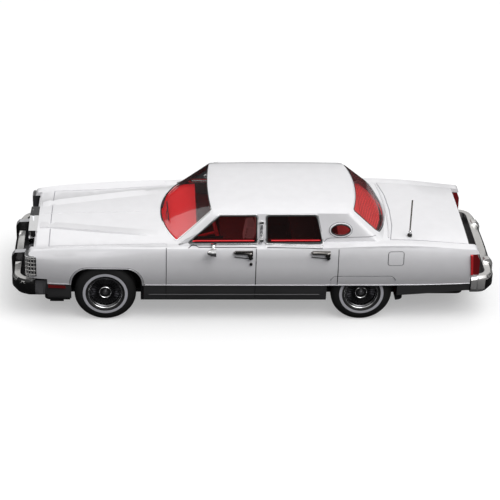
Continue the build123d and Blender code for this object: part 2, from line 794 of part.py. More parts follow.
def cross_hole(x, radius):
    with BuildSketch() as hole:
        with Locations((x, axle_z)):
            Circle(radius)
    return prism(Plane.XZ, hole.sketch, -20, 20)


plate = joined(
    block(-61.5, 44.0, -plate_half, plate_half, plate_z, floor_z, 2.0),
    block(40.0, 62.5, -17.0, 17.0, plate_z, floor_z, 2.0),
    block(58.5, 62.5, -17.0, 17.0, floor_z, floor_z + 1.6),
    *saddles(front_axle_x),
    *saddles(rear_axle_x),
    *both(front_liner()),
    *both(block(-56, 58, -9.6, -8.0, 5.0, plate_z)),
    *both(block(-60, -56, -19.0, -12.0, 4.6, plate_z)),
    block(-50, -34, -5, 5, 4.6, plate_z, 1.5),
    block(-34, -10, -2.6, 2.6, 4.9, plate_z, 1.0),
    block(-10, rear_axle_x - 2.4, -0.8, 0.8, 5.2, plate_z),
    block(rear_axle_x - 2.4, rear_axle_x + 2.4, -3.0, 3.0, 4.8, plate_z, 1.5),
)
axle_play = 0.08
with BuildPart() as baseplate:
    add(minus(
        plate,
        *plate_wells(front_axle_x),
        *plate_wells(rear_axle_x),
        cross_hole(front_axle_x, axle_r + axle_play),
        cross_hole(rear_axle_x, axle_r + axle_play),
    ))
    with Locations((screw_x, 0, floor_z), (screw_x + screw_pitch, 0, floor_z)):
        Hole(screw_r)
finish("chassis", baseplate.part)
with BuildPart() as exhaust:
    with BuildSketch(Plane.YZ.offset(-30)):
        with Locations((6.2, 5.6)):
            Circle(0.6)
    extrude(amount=88)
finish("exhaust", minus(exhaust.part, baseplate.part))


# Wheelsets
def turned(x, profile):
    # A profile of distance across the car and radius, revolved round the axle
    with BuildPart() as wheel_part:
        with BuildSketch(Plane.YZ.offset(x)):
            with BuildLine():
                Polyline(*[(y, axle_z + r) for y, r in profile], close=True)
            make_face()
        revolve(axis=Axis((x, 0, axle_z), (0, 1, 0)))
    return wheel_part.part


def tyre(x):
    # A tyre with a sloped shoulder on each side of its tread
    y0, y1 = tyre_outer_y - tyre_width, tyre_outer_y
    shoulder = 1.1
    return turned(x, (
        (y0, rim_r), (y1, rim_r), (y1, tyre_r - shoulder), (y1 - shoulder, tyre_r), (y0 + shoulder, tyre_r),
        (y0, tyre_r - shoulder),
    ))


def rim(x):
    # A dished disc wheel with a hub cap and a ring of raised vanes
    face_y = tyre_outer_y - 0.35
    disc_y = face_y - 1.1
    back_y = face_y - 3.6
    dish = turned(x, (
        (back_y, axle_r), (face_y - 0.1, axle_r), (face_y - 0.1, 1.2), (disc_y + 0.3, 1.8), (disc_y, 1.8),
        (disc_y, 4.35), (face_y, 4.35), (face_y, rim_r), (back_y, rim_r),
    ))
    with BuildPart() as vanes:
        with BuildSketch(Plane.XZ.offset(-disc_y)):
            with Locations((x, axle_z)):
                with PolarLocations(3.1, vane_count):
                    Rectangle(2.0, 0.24)
        extrude(amount=-0.5)
    return joined(dish, vanes.part)


for end, axle_x in (("front", front_axle_x), ("rear", rear_axle_x)):
    with BuildPart() as axle:
        with BuildSketch(Plane.XZ) as axle_end:
            with Locations((axle_x, axle_z)):
                Circle(axle_r)
        extrude(amount=21.5, both=True)
    finish(f"axle_{end}", axle.part)
    for name, wheel_part in (("tyre", tyre(axle_x)), ("rim", rim(axle_x))):
        finish(f"{name}_{end}_left", opposite(wheel_part))
        finish(f"{name}_{end}_right", wheel_part)
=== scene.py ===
import math

import json
import bpy
import bmesh
from mathutils import Matrix, Vector
from mathutils.bvhtree import BVHTree
from mathutils.kdtree import KDTree


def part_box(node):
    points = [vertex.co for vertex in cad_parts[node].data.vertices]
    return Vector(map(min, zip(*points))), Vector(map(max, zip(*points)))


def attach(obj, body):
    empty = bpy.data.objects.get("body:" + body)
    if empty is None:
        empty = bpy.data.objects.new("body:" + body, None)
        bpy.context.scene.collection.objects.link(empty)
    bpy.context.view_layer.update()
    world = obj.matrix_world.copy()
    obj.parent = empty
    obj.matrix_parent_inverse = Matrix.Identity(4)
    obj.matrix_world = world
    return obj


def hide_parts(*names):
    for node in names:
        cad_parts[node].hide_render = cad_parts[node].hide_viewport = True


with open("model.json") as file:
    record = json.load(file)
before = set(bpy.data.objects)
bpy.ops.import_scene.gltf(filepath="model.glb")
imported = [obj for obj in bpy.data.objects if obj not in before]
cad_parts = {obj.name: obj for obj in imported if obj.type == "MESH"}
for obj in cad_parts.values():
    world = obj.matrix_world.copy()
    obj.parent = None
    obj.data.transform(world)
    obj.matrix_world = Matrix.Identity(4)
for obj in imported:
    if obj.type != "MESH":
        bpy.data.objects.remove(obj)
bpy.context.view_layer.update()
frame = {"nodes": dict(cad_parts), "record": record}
nodes = frame["nodes"]
slotOf = {part["node"]: part["material_slot"] for part in frame["record"]["subparts"]}
print("stage: frame loaded")

# A closed-body scale model of a long sedan. The scene is in metres, and the dictionaries of the car's
# own pieces are in millimetres. -X is the front, -Y the driver's side.
mm = 0.001

viewSetup = {
    "lens": 125.2,
    "sensor": 36,
    "target": (-0.0004, 0.0, 0.0115),
    "distance": 0.5283,
    "azimuth": -3.65,  # degrees, turning the camera round the car
    "elevation": 28.57,
    "roll": 1.87,
}


def makeCamera(setup):
    azimuth, elevation, roll = (math.radians(setup[k]) for k in ("azimuth", "elevation", "roll"))
    back = Vector((
        math.sin(azimuth) * math.cos(elevation),
        -math.cos(azimuth) * math.cos(elevation),
        math.sin(elevation),
    ))
    level = Vector((math.cos(azimuth), math.sin(azimuth), 0))
    upright = back.cross(level)
    right = math.cos(roll) * level + math.sin(roll) * upright
    up = math.cos(roll) * upright - math.sin(roll) * level
    data = bpy.data.cameras.new("camera")
    data.lens = setup["lens"]
    data.sensor_width = setup["sensor"]
    data.clip_start = 0.01
    camera = bpy.data.objects.new("camera", data)
    bpy.context.collection.objects.link(camera)
    place = Matrix((right, up, back)).transposed().to_4x4()
    place.translation = Vector(setup["target"]) + back * setup["distance"]
    camera.matrix_world = place
    bpy.context.scene.camera = camera


makeCamera(viewSetup)

# Studio: a pale floor that runs on to a bright background, and soft lights from above

studio = {
    "floorSize": 6.0,
    "floorColour": (0.66, 0.66, 0.66, 1),
    "floorGlow": 0.36,
    "floorInReflections": (0.04, 0.04, 0.042, 1),
    "shadeBehindGlass": (0.10, 0.097, 0.093, 1),  # the backdrop where it is seen through the glazing, dark as painted shade
    "skyTop": 0.78,  # brightness overhead
    "skyLow": 0.1,  # and near the horizon
    "skyEdge": 0.3,  # sine of the height where the sky starts to brighten
    "skyBlend": 0.35,
}

lights = {
    "keyLight": {
        "power": 5.0, "size": 0.8, "place": (0.38, -0.3, 0.78), "aim": (0, 0, 0), "colour": (1, 1, 1),
    },
    "fillLight": {
        "power": 1.0, "size": 0.6, "place": (0.1, -0.95, 0.7), "aim": (0, 0, 0.01),
        "colour": (0.93, 0.92, 1.0),
    },
    "cardLight": {
        "power": 0.6, "size": 0.5, "place": (-0.52, 0.39, 0.46), "aim": (0, 0, 0.02), "colour": (1, 1, 1),
    },
}


def link(tree, giver, output, taker, place):
    tree.links.new(giver.outputs[output], taker.inputs[place])


def setInputs(node, values):
    for place, value in values.items():
        node.inputs[place].default_value = value


def newMaterial(name):
    material = bpy.data.materials.new(name)
    material.use_nodes = True
    tree = material.node_tree
    shader = tree.nodes["Principled BSDF"]
    return material, tree, shader


def makeFloor(setup):
    mesh = bpy.data.meshes.new("floor")
    bm = bmesh.new()
    bmesh.ops.create_grid(bm, x_segments=2, y_segments=2, size=setup["floorSize"] / 2)
    bm.to_mesh(mesh)
    bm.free()
    floor = bpy.data.objects.new("floor", mesh)
    bpy.context.collection.objects.link(floor)
    material, tree, shader = newMaterial("paleFloor")
    setInputs(shader, {
        "Base Color": setup["floorColour"],
        "Emission Color": (1, 1, 1, 1),
        "Emission Strength": setup["floorGlow"],
        "Roughness": 0.9,
        "Specular IOR Level": 0.1,
    })
    # What the bright metal and the paint pick up from below, and the floor where it shows through the
    # glazing, dim as painted shade
    dim = tree.nodes.new("ShaderNodeBsdfDiffuse")
    setInputs(dim, {"Color": setup["floorInReflections"]})
    path = tree.nodes.new("ShaderNodeLightPath")
    direct = tree.nodes.new("ShaderNodeMath")
    direct.operation = "SUBTRACT"
    direct.use_clamp = True
    link(tree, path, "Is Camera Ray", direct, 0)
    link(tree, path, "Transparent Depth", direct, 1)
    mix = tree.nodes.new("ShaderNodeMixShader")
    link(tree, direct, "Value", mix, "Fac")
    link(tree, dim, "BSDF", mix, 1)
    link(tree, shader, "BSDF", mix, 2)
    link(tree, mix, "Shader", tree.nodes["Material Output"], "Surface")
    mesh.materials.append(material)


def makeSky(setup):
    # White behind the car, dim round the horizon and bright overhead for what the surfaces reflect
    world = bpy.data.worlds.new("studio")
    world.use_nodes = True
    tree = world.node_tree
    coord = tree.nodes.new("ShaderNodeTexCoord")
    split = tree.nodes.new("ShaderNodeSeparateXYZ")
    ramp = tree.nodes.new("ShaderNodeValToRGB")
    low, top = ramp.color_ramp.elements
    low.position = setup["skyEdge"]
    low.color = (*[setup["skyLow"]] * 3, 1)
    top.position = setup["skyEdge"] + setup["skyBlend"]
    top.color = (*[setup["skyTop"]] * 3, 1)
    path = tree.nodes.new("ShaderNodeLightPath")
    pick = tree.nodes.new("ShaderNodeMix")
    pick.data_type = "RGBA"
    seen = tree.nodes.new("ShaderNodeMix")
    seen.data_type = "RGBA"
    # Seen through the glazing the backdrop is dark: painted shade
    setInputs(seen, {"A": (1, 1, 1, 1), "B": setup["shadeBehindGlass"]})
    link(tree, path, "Transparent Depth", seen, "Factor")
    link(tree, seen, "Result", pick, "B")
    link(tree, coord, "Generated", split, "Vector")
    link(tree, split, "Z", ramp, "Fac")
    link(tree, path, "Is Camera Ray", pick, "Factor")
    link(tree, ramp, "Color", pick, "A")
    link(tree, pick, "Result", tree.nodes["Background"], "Color")
    bpy.context.scene.world = world


def makeLight(name, setup):
    data = bpy.data.lights.new(name, "AREA")
    data.energy = setup["power"]
    data.size = setup["size"]
    data.color = setup["colour"]
    light = bpy.data.objects.new(name, data)
    bpy.context.collection.objects.link(light)
    light.location = setup["place"]
    light.visible_camera = False
    towards = Vector(setup["aim"]) - Vector(setup["place"])
    light.rotation_euler = towards.to_track_quat("-Z", "Y").to_euler()


makeFloor(studio)
makeSky(studio)
for lightName, lightSetup in lights.items():
    makeLight(lightName, lightSetup)
bpy.context.scene.view_settings.view_transform = "Standard"
print("stage: camera and studio set")

# Finishes

grain = {
    "detail": 4,
    "tint": 0.04,  # how far the mottling takes the colour either way
    "reliefDepth": 0.00008,  # metres
}

glass = {
    "clear": 0.02,  # how much of the glazing shows face on
    "mirror": 0.14,  # and where it reflects well
    "mirrorFrom": 0.5,  # the share of light reflected there
    "veil": 0.8,  # how much shows where it turns away from the eye
    "veilFrom": 0.7,  # 0 is face on and 1 is edge on
    "veilTo": 0.97,
}


def makeMottle():
    # One soft mottling that every finish shares: a value for the roughness, and a height for tint and relief
    group = bpy.data.node_groups.new("mottle", "ShaderNodeTree")
    for socketName in ("Scale", "Low", "High"):
        group.interface.new_socket(name=socketName, in_out="INPUT", socket_type="NodeSocketFloat")
    for socketName in ("Roughness", "Height"):
        group.interface.new_socket(name=socketName, in_out="OUTPUT", socket_type="NodeSocketFloat")
    given = group.nodes.new("NodeGroupInput")
    result = group.nodes.new("NodeGroupOutput")
    coord = group.nodes.new("ShaderNodeTexCoord")
    noise = group.nodes.new("ShaderNodeTexNoise")
    setInputs(noise, {"Detail": grain["detail"]})
    span = group.nodes.new("ShaderNodeMapRange")
    link(group, coord, "Object", noise, "Vector")
    link(group, given, "Scale", noise, "Scale")
    link(group, noise, "Fac", span, "Value")
    link(group, given, "Low", span, "To Min")
    link(group, given, "High", span, "To Max")
    link(group, span, "Result", result, "Roughness")
    link(group, noise, "Fac", result, "Height")
    return group


mottle = makeMottle()
finishes = {}


def makeFinish(name, colour, metallic, low, high, scale, coat=0.0, alpha=1.0, relief=0.0, paintedGlow=0.0):
    # The roughness runs from low to high over the mottling, and scale says how fine that is. The glow makes
    # the finish shine in its own colour: painted light, as no lamp is there.
    material, tree, shader = newMaterial(name)
    setInputs(shader, {
        "Metallic": metallic,
        "Coat Weight": coat,
        "Coat Roughness": 0.03,
        "Alpha": alpha,
        "Emission Color": (*colour, 1),
        "Emission Strength": paintedGlow,
    })
    surface = tree.nodes.new("ShaderNodeGroup")
    surface.node_tree = mottle
    setInputs(surface, {"Scale": scale, "Low": low, "High": high})
    link(tree, surface, "Roughness", shader, "Roughness")
    tint = tree.nodes.new("ShaderNodeMix")
    tint.data_type = "RGBA"
    setInputs(tint, {
        "A": (*[v * (1 - grain["tint"]) for v in colour], 1),
        "B": (*[min(1, v * (1 + grain["tint"])) for v in colour], 1),
    })
    link(tree, surface, "Height", tint, "Factor")
    link(tree, tint, "Result", shader, "Base Color")
    if relief:
        bump = tree.nodes.new("ShaderNodeBump")
        setInputs(bump, {"Strength": relief, "Distance": grain["reliefDepth"]})
        link(tree, surface, "Height", bump, "Height")
        link(tree, bump, "Normal", shader, "Normal")
    finishes[name] = material
    return material


def makeGlazing(name, colour, setup):
    # Clear moulded glazing: nearly nothing face on, and more sky in it as it turns away
    material = makeFinish(name, colour, 1.0, 0.02, 0.05, 200)
    tree = material.node_tree
    fresnel = tree.nodes.new("ShaderNodeFresnel")
    setInputs(fresnel, {"IOR": 1.5})
    span = tree.nodes.new("ShaderNodeMapRange")
    setInputs(span, {"From Max": setup["mirrorFrom"], "To Min": setup["clear"], "To Max": setup["mirror"]})
    weight = tree.nodes.new("ShaderNodeLayerWeight")
    veil = tree.nodes.new("ShaderNodeMapRange")
    veil.interpolation_type = "SMOOTHSTEP"
    setInputs(veil, {"From Min": setup["veilFrom"], "From Max": setup["veilTo"], "To Max": setup["veil"]})
    most = tree.nodes.new("ShaderNodeMath")
    most.operation = "MAXIMUM"
    link(tree, fresnel, "Fac", span, "Value")
    link(tree, weight, "Facing", veil, "Value")
    link(tree, span, "Result", most, 0)
    link(tree, veil, "Result", most, 1)
    link(tree, most, "Value", tree.nodes["Principled BSDF"], "Alpha")


# Each line says the colour, how metallic it is, the lowest and highest roughness, and the mottling's scale
makeFinish("body_paint", (0.82, 0.815, 0.83), 0.0, 0.16, 0.22, 300, coat=0.6)
makeGlazing("glazing", (0.75, 0.77, 0.78), glass)
# The side glazing is darkened to stand for the shade of the cabin behind it: painted shade
makeFinish("shadedSideGlass", (0.012, 0.006, 0.006), 0.0, 0.04, 0.08, 200, alpha=0.42)
makeFinish("clear_lens", (0.75, 0.75, 0.75), 0.5, 0.06, 0.16, 300)
makeFinish("red_lens", (0.2, 0.005, 0.008), 0.0, 0.08, 0.16, 300, coat=1.0)
makeFinish("markerRed", (0.16, 0.006, 0.006), 0.0, 0.15, 0.25, 600, coat=1.0)
makeFinish("stripRed", (0.7, 0.03, 0.035), 0.0, 0.15, 0.25, 400, coat=0.6)
makeFinish("lampDark", (0.05, 0.05, 0.053), 0.3, 0.06, 0.14, 300, coat=1.0)

makeFinish("interior_red", (0.82, 0.018, 0.022), 0.0, 0.42, 0.6, 800)
makeFinish("seat_red", (0.42, 0.012, 0.014), 0.0, 0.36, 0.55, 800)
# A darker copy of the interior red for the tub and rear seat: painted shade
makeFinish("cabinShadeRed", (0.3, 0.008, 0.01), 0.0, 0.5, 0.65, 800)
# The dash, rear shelf and seat pads glow a little in their own colour: painted light standing for the studio
# light through the glass
makeFinish("dashRed", (0.88, 0.022, 0.03), 0.0, 0.5, 0.65, 800, paintedGlow=0.1)
makeFinish("shelfRed", (0.85, 0.09, 0.09), 0.0, 0.5, 0.65, 800, paintedGlow=0.26)
# The pink is a painted highlight on the seat's tops and pads, and it glows as well
makeFinish("padHighlightPink", (0.8, 0.24, 0.24), 0.0, 0.4, 0.55, 800, paintedGlow=0.2)
makeFinish("heaterLine", (0.2, 0.02, 0.02), 0.0, 0.3, 0.4, 600)
# Near black for the body's and frames' inside faces and the footwells: painted shade
makeFinish("innerShadeDark", (0.045, 0.03, 0.028), 0.0, 0.5, 0.7, 600)

makeFinish("chrome", (0.82, 0.82, 0.82), 1.0, 0.04, 0.08, 600)
# Bright bars, and also the bumpers' tops as a painted highlight
makeFinish("brightBarsAndTopSheen", (0.8, 0.79, 0.77), 0.7, 0.12, 0.3, 700, relief=0.5)
# Pale trim beads, and the guards' tops as a painted highlight
makeFinish("paleTrimAndTopSheen", (0.7, 0.7, 0.72), 0.6, 0.15, 0.25, 600)
# A dark copy of chrome for the door handles: painted reflection of dark surroundings
makeFinish("handleChromeShaded", (0.2, 0.19, 0.18), 1.0, 0.1, 0.16, 600)
makeFinish("dark_chrome", (0.05, 0.05, 0.051), 0.0, 0.3, 0.42, 600)
makeFinish("steel", (0.5, 0.5, 0.5), 1.0, 0.25, 0.4, 600)
# The wheel covers' chrome is made dark: painted reflection of the dark below, with only the rings bright
makeFinish("wheel_chrome", (0.16, 0.16, 0.165), 1.0, 0.1, 0.2, 600)
makeFinish("wheelBright", (0.8, 0.8, 0.8), 1.0, 0.06, 0.12, 600)

makeFinish("tyre", (0.013, 0.013, 0.013), 0.0, 0.5, 0.72, 900, relief=0.3)
makeFinish("whiteWall", (0.62, 0.62, 0.66), 0.0, 0.4, 0.55, 700)
makeFinish("base_plastic", (0.012, 0.012, 0.013), 0.0, 0.4, 0.6, 600)
# Black gloss, also on the bumpers' and guards' outward faces as a painted reflection of the dark ground
makeFinish("blackGlossAndDarkReflection", (0.008, 0.008, 0.008), 0.0, 0.12, 0.22, 600)
makeFinish("blackRubber", (0.01, 0.01, 0.01), 0.0, 0.35, 0.5, 600)
makeFinish("antenna_black", (0.06, 0.055, 0.05), 0.8, 0.2, 0.32, 600)
# Grey for the front filler's outer side faces: painted shading
makeFinish("fillerSideShading", (0.15, 0.15, 0.155), 0.0, 0.3, 0.42, 600)
makeFinish("mouldLine", (0.08, 0.08, 0.082), 0.0, 0.3, 0.4, 600)
makeFinish("shutLine", (0.012, 0.012, 0.013), 0.0, 0.5, 0.7, 600)
makeFinish("seamLine", (0.2, 0.2, 0.215), 0.0, 0.5, 0.7, 600)
makeFinish("lidLine", (0.42, 0.42, 0.45), 0.0, 0.5, 0.7, 600)
print("stage: finishes made")

# Pieces that stand for the nodes

evening = {
    "reach": 2.0,  # how far round a corner the surface is averaged
    "spread": 36,  # degrees between faces that still count as one surface
    "spacing": 1.5,  # between the samples along an edge
    "mostSamples": 12,
    "fade": 0.7,  # how much less the farthest sample weighs
    "sideways": 0.8,  # faces that look this squarely to the side are the side panels
    "crown": 0.22,  # how much their shading tilts, from foot to shoulder
    "crownLow": 11, "crownMiddle": 16.8, "crownHigh": 24.4, "crownHalf": 8,
}


def finishPiece(name, bm, materialNames, body, replaced=()):
    # Turns a bmesh into a piece of the car
    mesh = bpy.data.meshes.new(name)
    bm.to_mesh(mesh)
    bm.free()
    piece = bpy.data.objects.new(name, mesh)
    bpy.context.collection.objects.link(piece)
    for materialName in materialNames:
        mesh.materials.append(finishes[materialName])
    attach(piece, body)
    if replaced:
        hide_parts(*replaced)
    return piece


def surfaceSamples(mesh, setup):
    # Places spread over every triangle, each with its normal and its share of the area
    samples = []
    for face in mesh.polygons:
        a, b, c = (mesh.vertices[i].co for i in face.vertices)
        longest = max((a - b).length, (b - c).length, (c - a).length)
        count = min(setup["mostSamples"], max(1, math.ceil(longest / (setup["spacing"] * mm))))
        share = face.area / (count * count)
        for i in range(count):
            for j in range(count - i):
                u, v = (i + 0.33) / count, (j + 0.33) / count
                samples.append((a + (b - a) * u + (c - a) * v, face.normal, share))
    return samples


def averageDirection(place, facing, samples, finder, setup):
    # The direction of the surface round a place, over the samples that face about the same way
    reach = setup["reach"] * mm
    limit = math.cos(math.radians(setup["spread"]))
    total = facing * 1e-12
    for _, i, gap in finder.find_range(place, reach):
        _, normal, share = samples[i]
        if normal.dot(facing) > limit:
            total = total + normal * share * (1 - gap / reach * setup["fade"])
    if abs(facing.y) > setup["sideways"]:  # the pressed side panels shade as if crowned
        total = total.normalized()
        height = place.z / mm
        if setup["crownLow"] < height < setup["crownHigh"]:
            total.z += setup["crown"] * (height - setup["crownMiddle"]) / setup["crownHalf"]
    return total.normalized()


def evenNormals(piece, setup):
    # Gives every corner the average direction of the surface round it, so that long thin faces shade evenly
    mesh = piece.data
    samples = surfaceSamples(mesh, setup)
    finder = KDTree(len(samples))
    for i, sample in enumerate(samples):
        finder.insert(sample[0], i)
    finder.balance()
    directions = []
    known = {}
    for face in mesh.polygons:
        facing = tuple(round(v, 1) for v in face.normal)
        for index in face.vertices:
            key = (index, facing)
            if key not in known:
                known[key] = averageDirection(mesh.vertices[index].co, face.normal, samples, finder, setup)
            directions.append(known[key])
    mesh.shade_smooth()
    mesh.normals_split_custom_set(directions)


def smooth(piece, angle=40):
    piece.data.shade_smooth()
    piece.data.set_sharp_from_angle(angle=math.radians(angle))


def softenEdges(piece, angle):
    smooth(piece, angle)
    weighted = piece.modifiers.new("weighted", "WEIGHTED_NORMAL")
    weighted.keep_sharp = True


def bodyOf(nodeName):
    if nodeName.endswith("_front") or "_front_" in nodeName:
        return "front_wheelset"
    if nodeName.endswith("_rear") or "_rear_" in nodeName:
        return "rear_wheelset"
    return "car"


def mergedMesh(nodeName):
    bm = bmesh.new()
    bm.from_mesh(nodes[nodeName].data)
    bmesh.ops.remove_doubles(bm, verts=bm.verts, dist=0.002 * mm)
    return bm


# Nodes whose finish is not simply that of their slot
ownFinish = {
    # The side glass takes the darkened glazing, painted shade
    "side_glass_left": "shadedSideGlass", "side_glass_right": "shadedSideGlass",
    # The dashboard and steering wheel take the red that glows a little: painted light
    "dashboard": "dashRed", "steering_wheel": "dashRed",
    "front_lamp_left": "lampDark", "front_lamp_right": "lampDark",
    # The tub and rear seat take the interior red darkened as painted shade
    "interior_tub": "cabinShadeRed", "rear_seat": "cabinShadeRed",
    "door_handles": "handleChromeShaded", "front_filler": "blackGlossAndDarkReflection",
}

# Nodes that get smooth shading, each with the angle in degrees over which an edge stays sharp
smoothAngles = {
    "body_shell": 32, "windscreen": 30, "rear_window": 30, "front_bumper": 28, "rear_bumper": 28,
    "sill_moulding_left": 30, "sill_moulding_right": 30, "door_mirror_left": 40, "door_mirror_right": 40,
    "antenna": 30, "front_lamp_left": 30, "front_lamp_right": 30,
    "window_frames_left": 30, "window_frames_right": 30, "windscreen_frame": 30, "rear_window_frame": 30,
    "door_handles": 30, "steering_wheel": 30, "exhaust": 30, "front_filler": 30, "front_seat": 30,
    "coach_lamp_left": 30, "coach_lamp_right": 30,
}

faceLimits = {
    "belt": 25.7,  # from here up, the body's faces that look into the cabin or down are painted dark as painted shade
    "seatTop": 21.5,
    "fillerSide": 19,
    "bumperDark": 15.9,  # the bumpers' faces painted dark, a painted reflection of the dark ground, end here
}


def turnedInward(face):
    outward = 1 if face.calc_center_median().y > 0 else -1
    return face.normal.y * outward < -0.3


def bodyShadeFace(face):
    # Faces above the belt that look into the cabin, or down, are painted dark as painted shade
    above = face.calc_center_median().z >= faceLimits["belt"] * mm
    return 1 if above and (turnedInward(face) or face.normal.z < -0.4) else 0


def frameShadeFace(face):
    return 1 if turnedInward(face) else 0


# Upward faces high on the front seat take a lighter pink: a painted highlight
def seatHighlightFace(face):
    high = face.calc_center_median().z > faceLimits["seatTop"] * mm
    return 1 if face.normal.z > 0.6 and high else 0


# The filler's outer side faces are grey and the rest black: painted shading by how the faces turn
def fillerShadingFace(face):
    outer = abs(face.calc_center_median().y) > faceLimits["fillerSide"] * mm
    return 1 if abs(face.normal.y) > 0.3 and outer else 0


# The chrome bumper's low outward faces are painted black and its tops pale: painted reflection and painted
# highlight
def frontBumperFace(face):
    low = face.calc_center_median().z / mm < faceLimits["bumperDark"]
    outward = face.normal.x < -0.45 or abs(face.normal.y) > 0.45
    if outward and low and abs(face.normal.z) < 0.6:
        return 1
    return 2 if face.normal.z > 0.3 else 0


# The same painted reflection and painted highlight on the rear bumper
def rearBumperFace(face):
    low = face.calc_center_median().z / mm < faceLimits["bumperDark"]
    if face.normal.x > 0.45 and low and abs(face.normal.z) < 0.6:
        return 1
    return 2 if face.normal.z > 0.3 or abs(face.normal.y) > 0.75 else 0


# Finishes that some faces of a node have besides its own, and what picks one by its place in the list
faceFinishes = {
    # The inward faces of the body and the screen frames get the dark painted shade
    "body_shell": (["innerShadeDark"], bodyShadeFace),
    "windscreen_frame": (["innerShadeDark"], frameShadeFace),
    "rear_window_frame": (["innerShadeDark"], frameShadeFace),
    # The front seat's upward faces get the pink painted highlight
    "front_seat": (["padHighlightPink"], seatHighlightFace),
    "front_filler": (["fillerSideShading"], fillerShadingFace),
    # The bumpers get black and pale faces as painted reflection and painted highlight
    "front_bumper": (["blackGlossAndDarkReflection", "brightBarsAndTopSheen"], frontBumperFace),
    "rear_bumper": (["blackGlossAndDarkReflection", "brightBarsAndTopSheen"], rearBumperFace),
}


def makeSmoothPieces():
    for nodeName, angle in smoothAngles.items():
        bm = mergedMesh(nodeName)
        slotName = slotOf[nodeName]
        materialNames = [ownFinish.get(nodeName, slotName)]
        if nodeName in faceFinishes:
            others, pick = faceFinishes[nodeName]
            materialNames += others
            for face in bm.faces:
                face.material_index = pick(face)
        piece = finishPiece(nodeName + "Smooth", bm, materialNames, bodyOf(nodeName), [nodeName])
        if nodeName == "body_shell":
            evenNormals(piece, evening)
        else:
            softenEdges(piece, angle)


for part in frame["record"]["subparts"]:
    node = nodes[part["node"]]
    node.data.materials.clear()
    node.data.materials.append(finishes[ownFinish.get(part["node"], part["material_slot"])])

makeSmoothPieces()
print("stage: smooth pieces for the curved nodes")

# Ways to lay thin trim on the modelled pieces. Places are given and offset in millimetres.


def joinedTree(*names):
    bm = bmesh.new()
    for name in names:
        bm.from_mesh(nodes[name].data)
    tree = BVHTree.FromBMesh(bm)
    bm.free()
    return tree


bodyTree = BVHTree.FromBMesh(mergedMesh("body_shell"))
sideTree = joinedTree("body_shell", "window_frames_left", "side_glass_left")
mouldTree = joinedTree("sill_moulding_left")
screenTree = joinedTree("windscreen")
backTree = joinedTree("rear_window")


def onSide(x, z, stand=0.0):
    # The point on the body's left side at x and z, standing off it by stand
    hit = bodyTree.ray_cast(Vector((x, -40, z)) * mm, Vector((0, 1, 0)))
    return hit[0] + hit[1] * stand * mm if hit[0] else Vector((x, -23, z)) * mm


def onTree(tree, x, z, stand=0.0):
    # The same on another piece
    hit = tree.ray_cast(Vector((x, -40, z)) * mm, Vector((0, 1, 0)))
    return hit[0] + hit[1] * stand * mm if hit[0] else Vector((x, -22.5, z)) * mm


def onTop(x, y, stand=0.0):
    # The point on the body's top at x and y
    hit = bodyTree.ray_cast(Vector((x, y, 60)) * mm, Vector((0, 0, -1)))
    return hit[0] + hit[1] * stand * mm


def onGlass(tree, x, y, stand=0.0):
    # The point on a screen at x and y, or nothing past its edge
    hit = tree.ray_cast(Vector((x, y, 60)) * mm, Vector((0, 0, -1)))
    return hit[0] + hit[1] * stand * mm if hit[0] else None


def spread(points, gap):
    # The same run with more points on it
    out = []
    for (x0, z0), (x1, z1) in zip(points, points[1:]):
        steps = max(1, math.ceil(math.hypot(x1 - x0, z1 - z0) / gap))
        out += [(x0 + (x1 - x0) * i / steps, z0 + (z1 - z0) * i / steps) for i in range(steps)]
    out.append(points[-1])
    return out


def sideRun(points, stand, count=12):
    # Points spread along a line of (x, z) corners, laid on the body's side
    laid = []
    for (x0, z0), (x1, z1) in zip(points, points[1:]):
        for i in range(count):
            t = i / count
            laid.append(onSide(x0 + (x1 - x0) * t, z0 + (z1 - z0) * t, stand))
    laid.append(onSide(*points[-1], stand))
    return laid


def rounded(corners, radius, count=6):
    # A closed run round a polygon of (x, z) corners with its corners rounded
    points = []
    for i, corner in enumerate(corners):
        here, before, after = Vector(corner), Vector(corners[i - 1]), Vector(corners[(i + 1) % len(corners)])
        start = here + (before - here).normalized() * radius
        end = here + (after - here).normalized() * radius
        for k in range(count + 1):
            t = k / count
            points.append(tuple(start * (1 - t) ** 2 + here * 2 * t * (1 - t) + end * t * t))
    return points


def tubeMesh(bm, points, radius, closed=False):
    # A round bead along a run of points
    curve = bpy.data.curves.new("bead", "CURVE")
    curve.dimensions = "3D"
    curve.bevel_depth = radius * mm
    curve.bevel_resolution = 2
    curve.use_fill_caps = True
    spline = curve.splines.new("POLY")
    spline.points.add(len(points) - 1)
    for knot, point in zip(spline.points, points):
        knot.co = (*point, 1)
    spline.use_cyclic_u = closed
    holder = bpy.data.objects.new("bead", curve)
    bpy.context.collection.objects.link(holder)
    bpy.context.view_layer.update()
    mesh = bpy.data.meshes.new_from_object(holder.evaluated_get(bpy.context.evaluated_depsgraph_get()))
    bm.from_mesh(mesh)
    bpy.data.objects.remove(holder)
    bpy.data.curves.remove(curve)
    bpy.data.meshes.remove(mesh)


def mirrorAcross(bm):
    # Adds the same shape on the car's other side
    copy = bmesh.ops.duplicate(bm, geom=bm.verts[:] + bm.edges[:] + bm.faces[:])["geom"]
    verts = [g for g in copy if isinstance(g, bmesh.types.BMVert)]
    faces = [g for g in copy if isinstance(g, bmesh.types.BMFace)]
    for vert in verts:
        vert.co.y = -vert.co.y
    bmesh.ops.reverse_faces(bm, faces=faces)


def beads(name, runs, radius, finish, mirrored=True, closed=False):
    bm = bmesh.new()
    for points in runs:
        tubeMesh(bm, points, radius, closed)
    if mirrored:
        mirrorAcross(bm)
    piece = finishPiece(name, bm, [finish], "car")
    piece.data.shade_smooth()


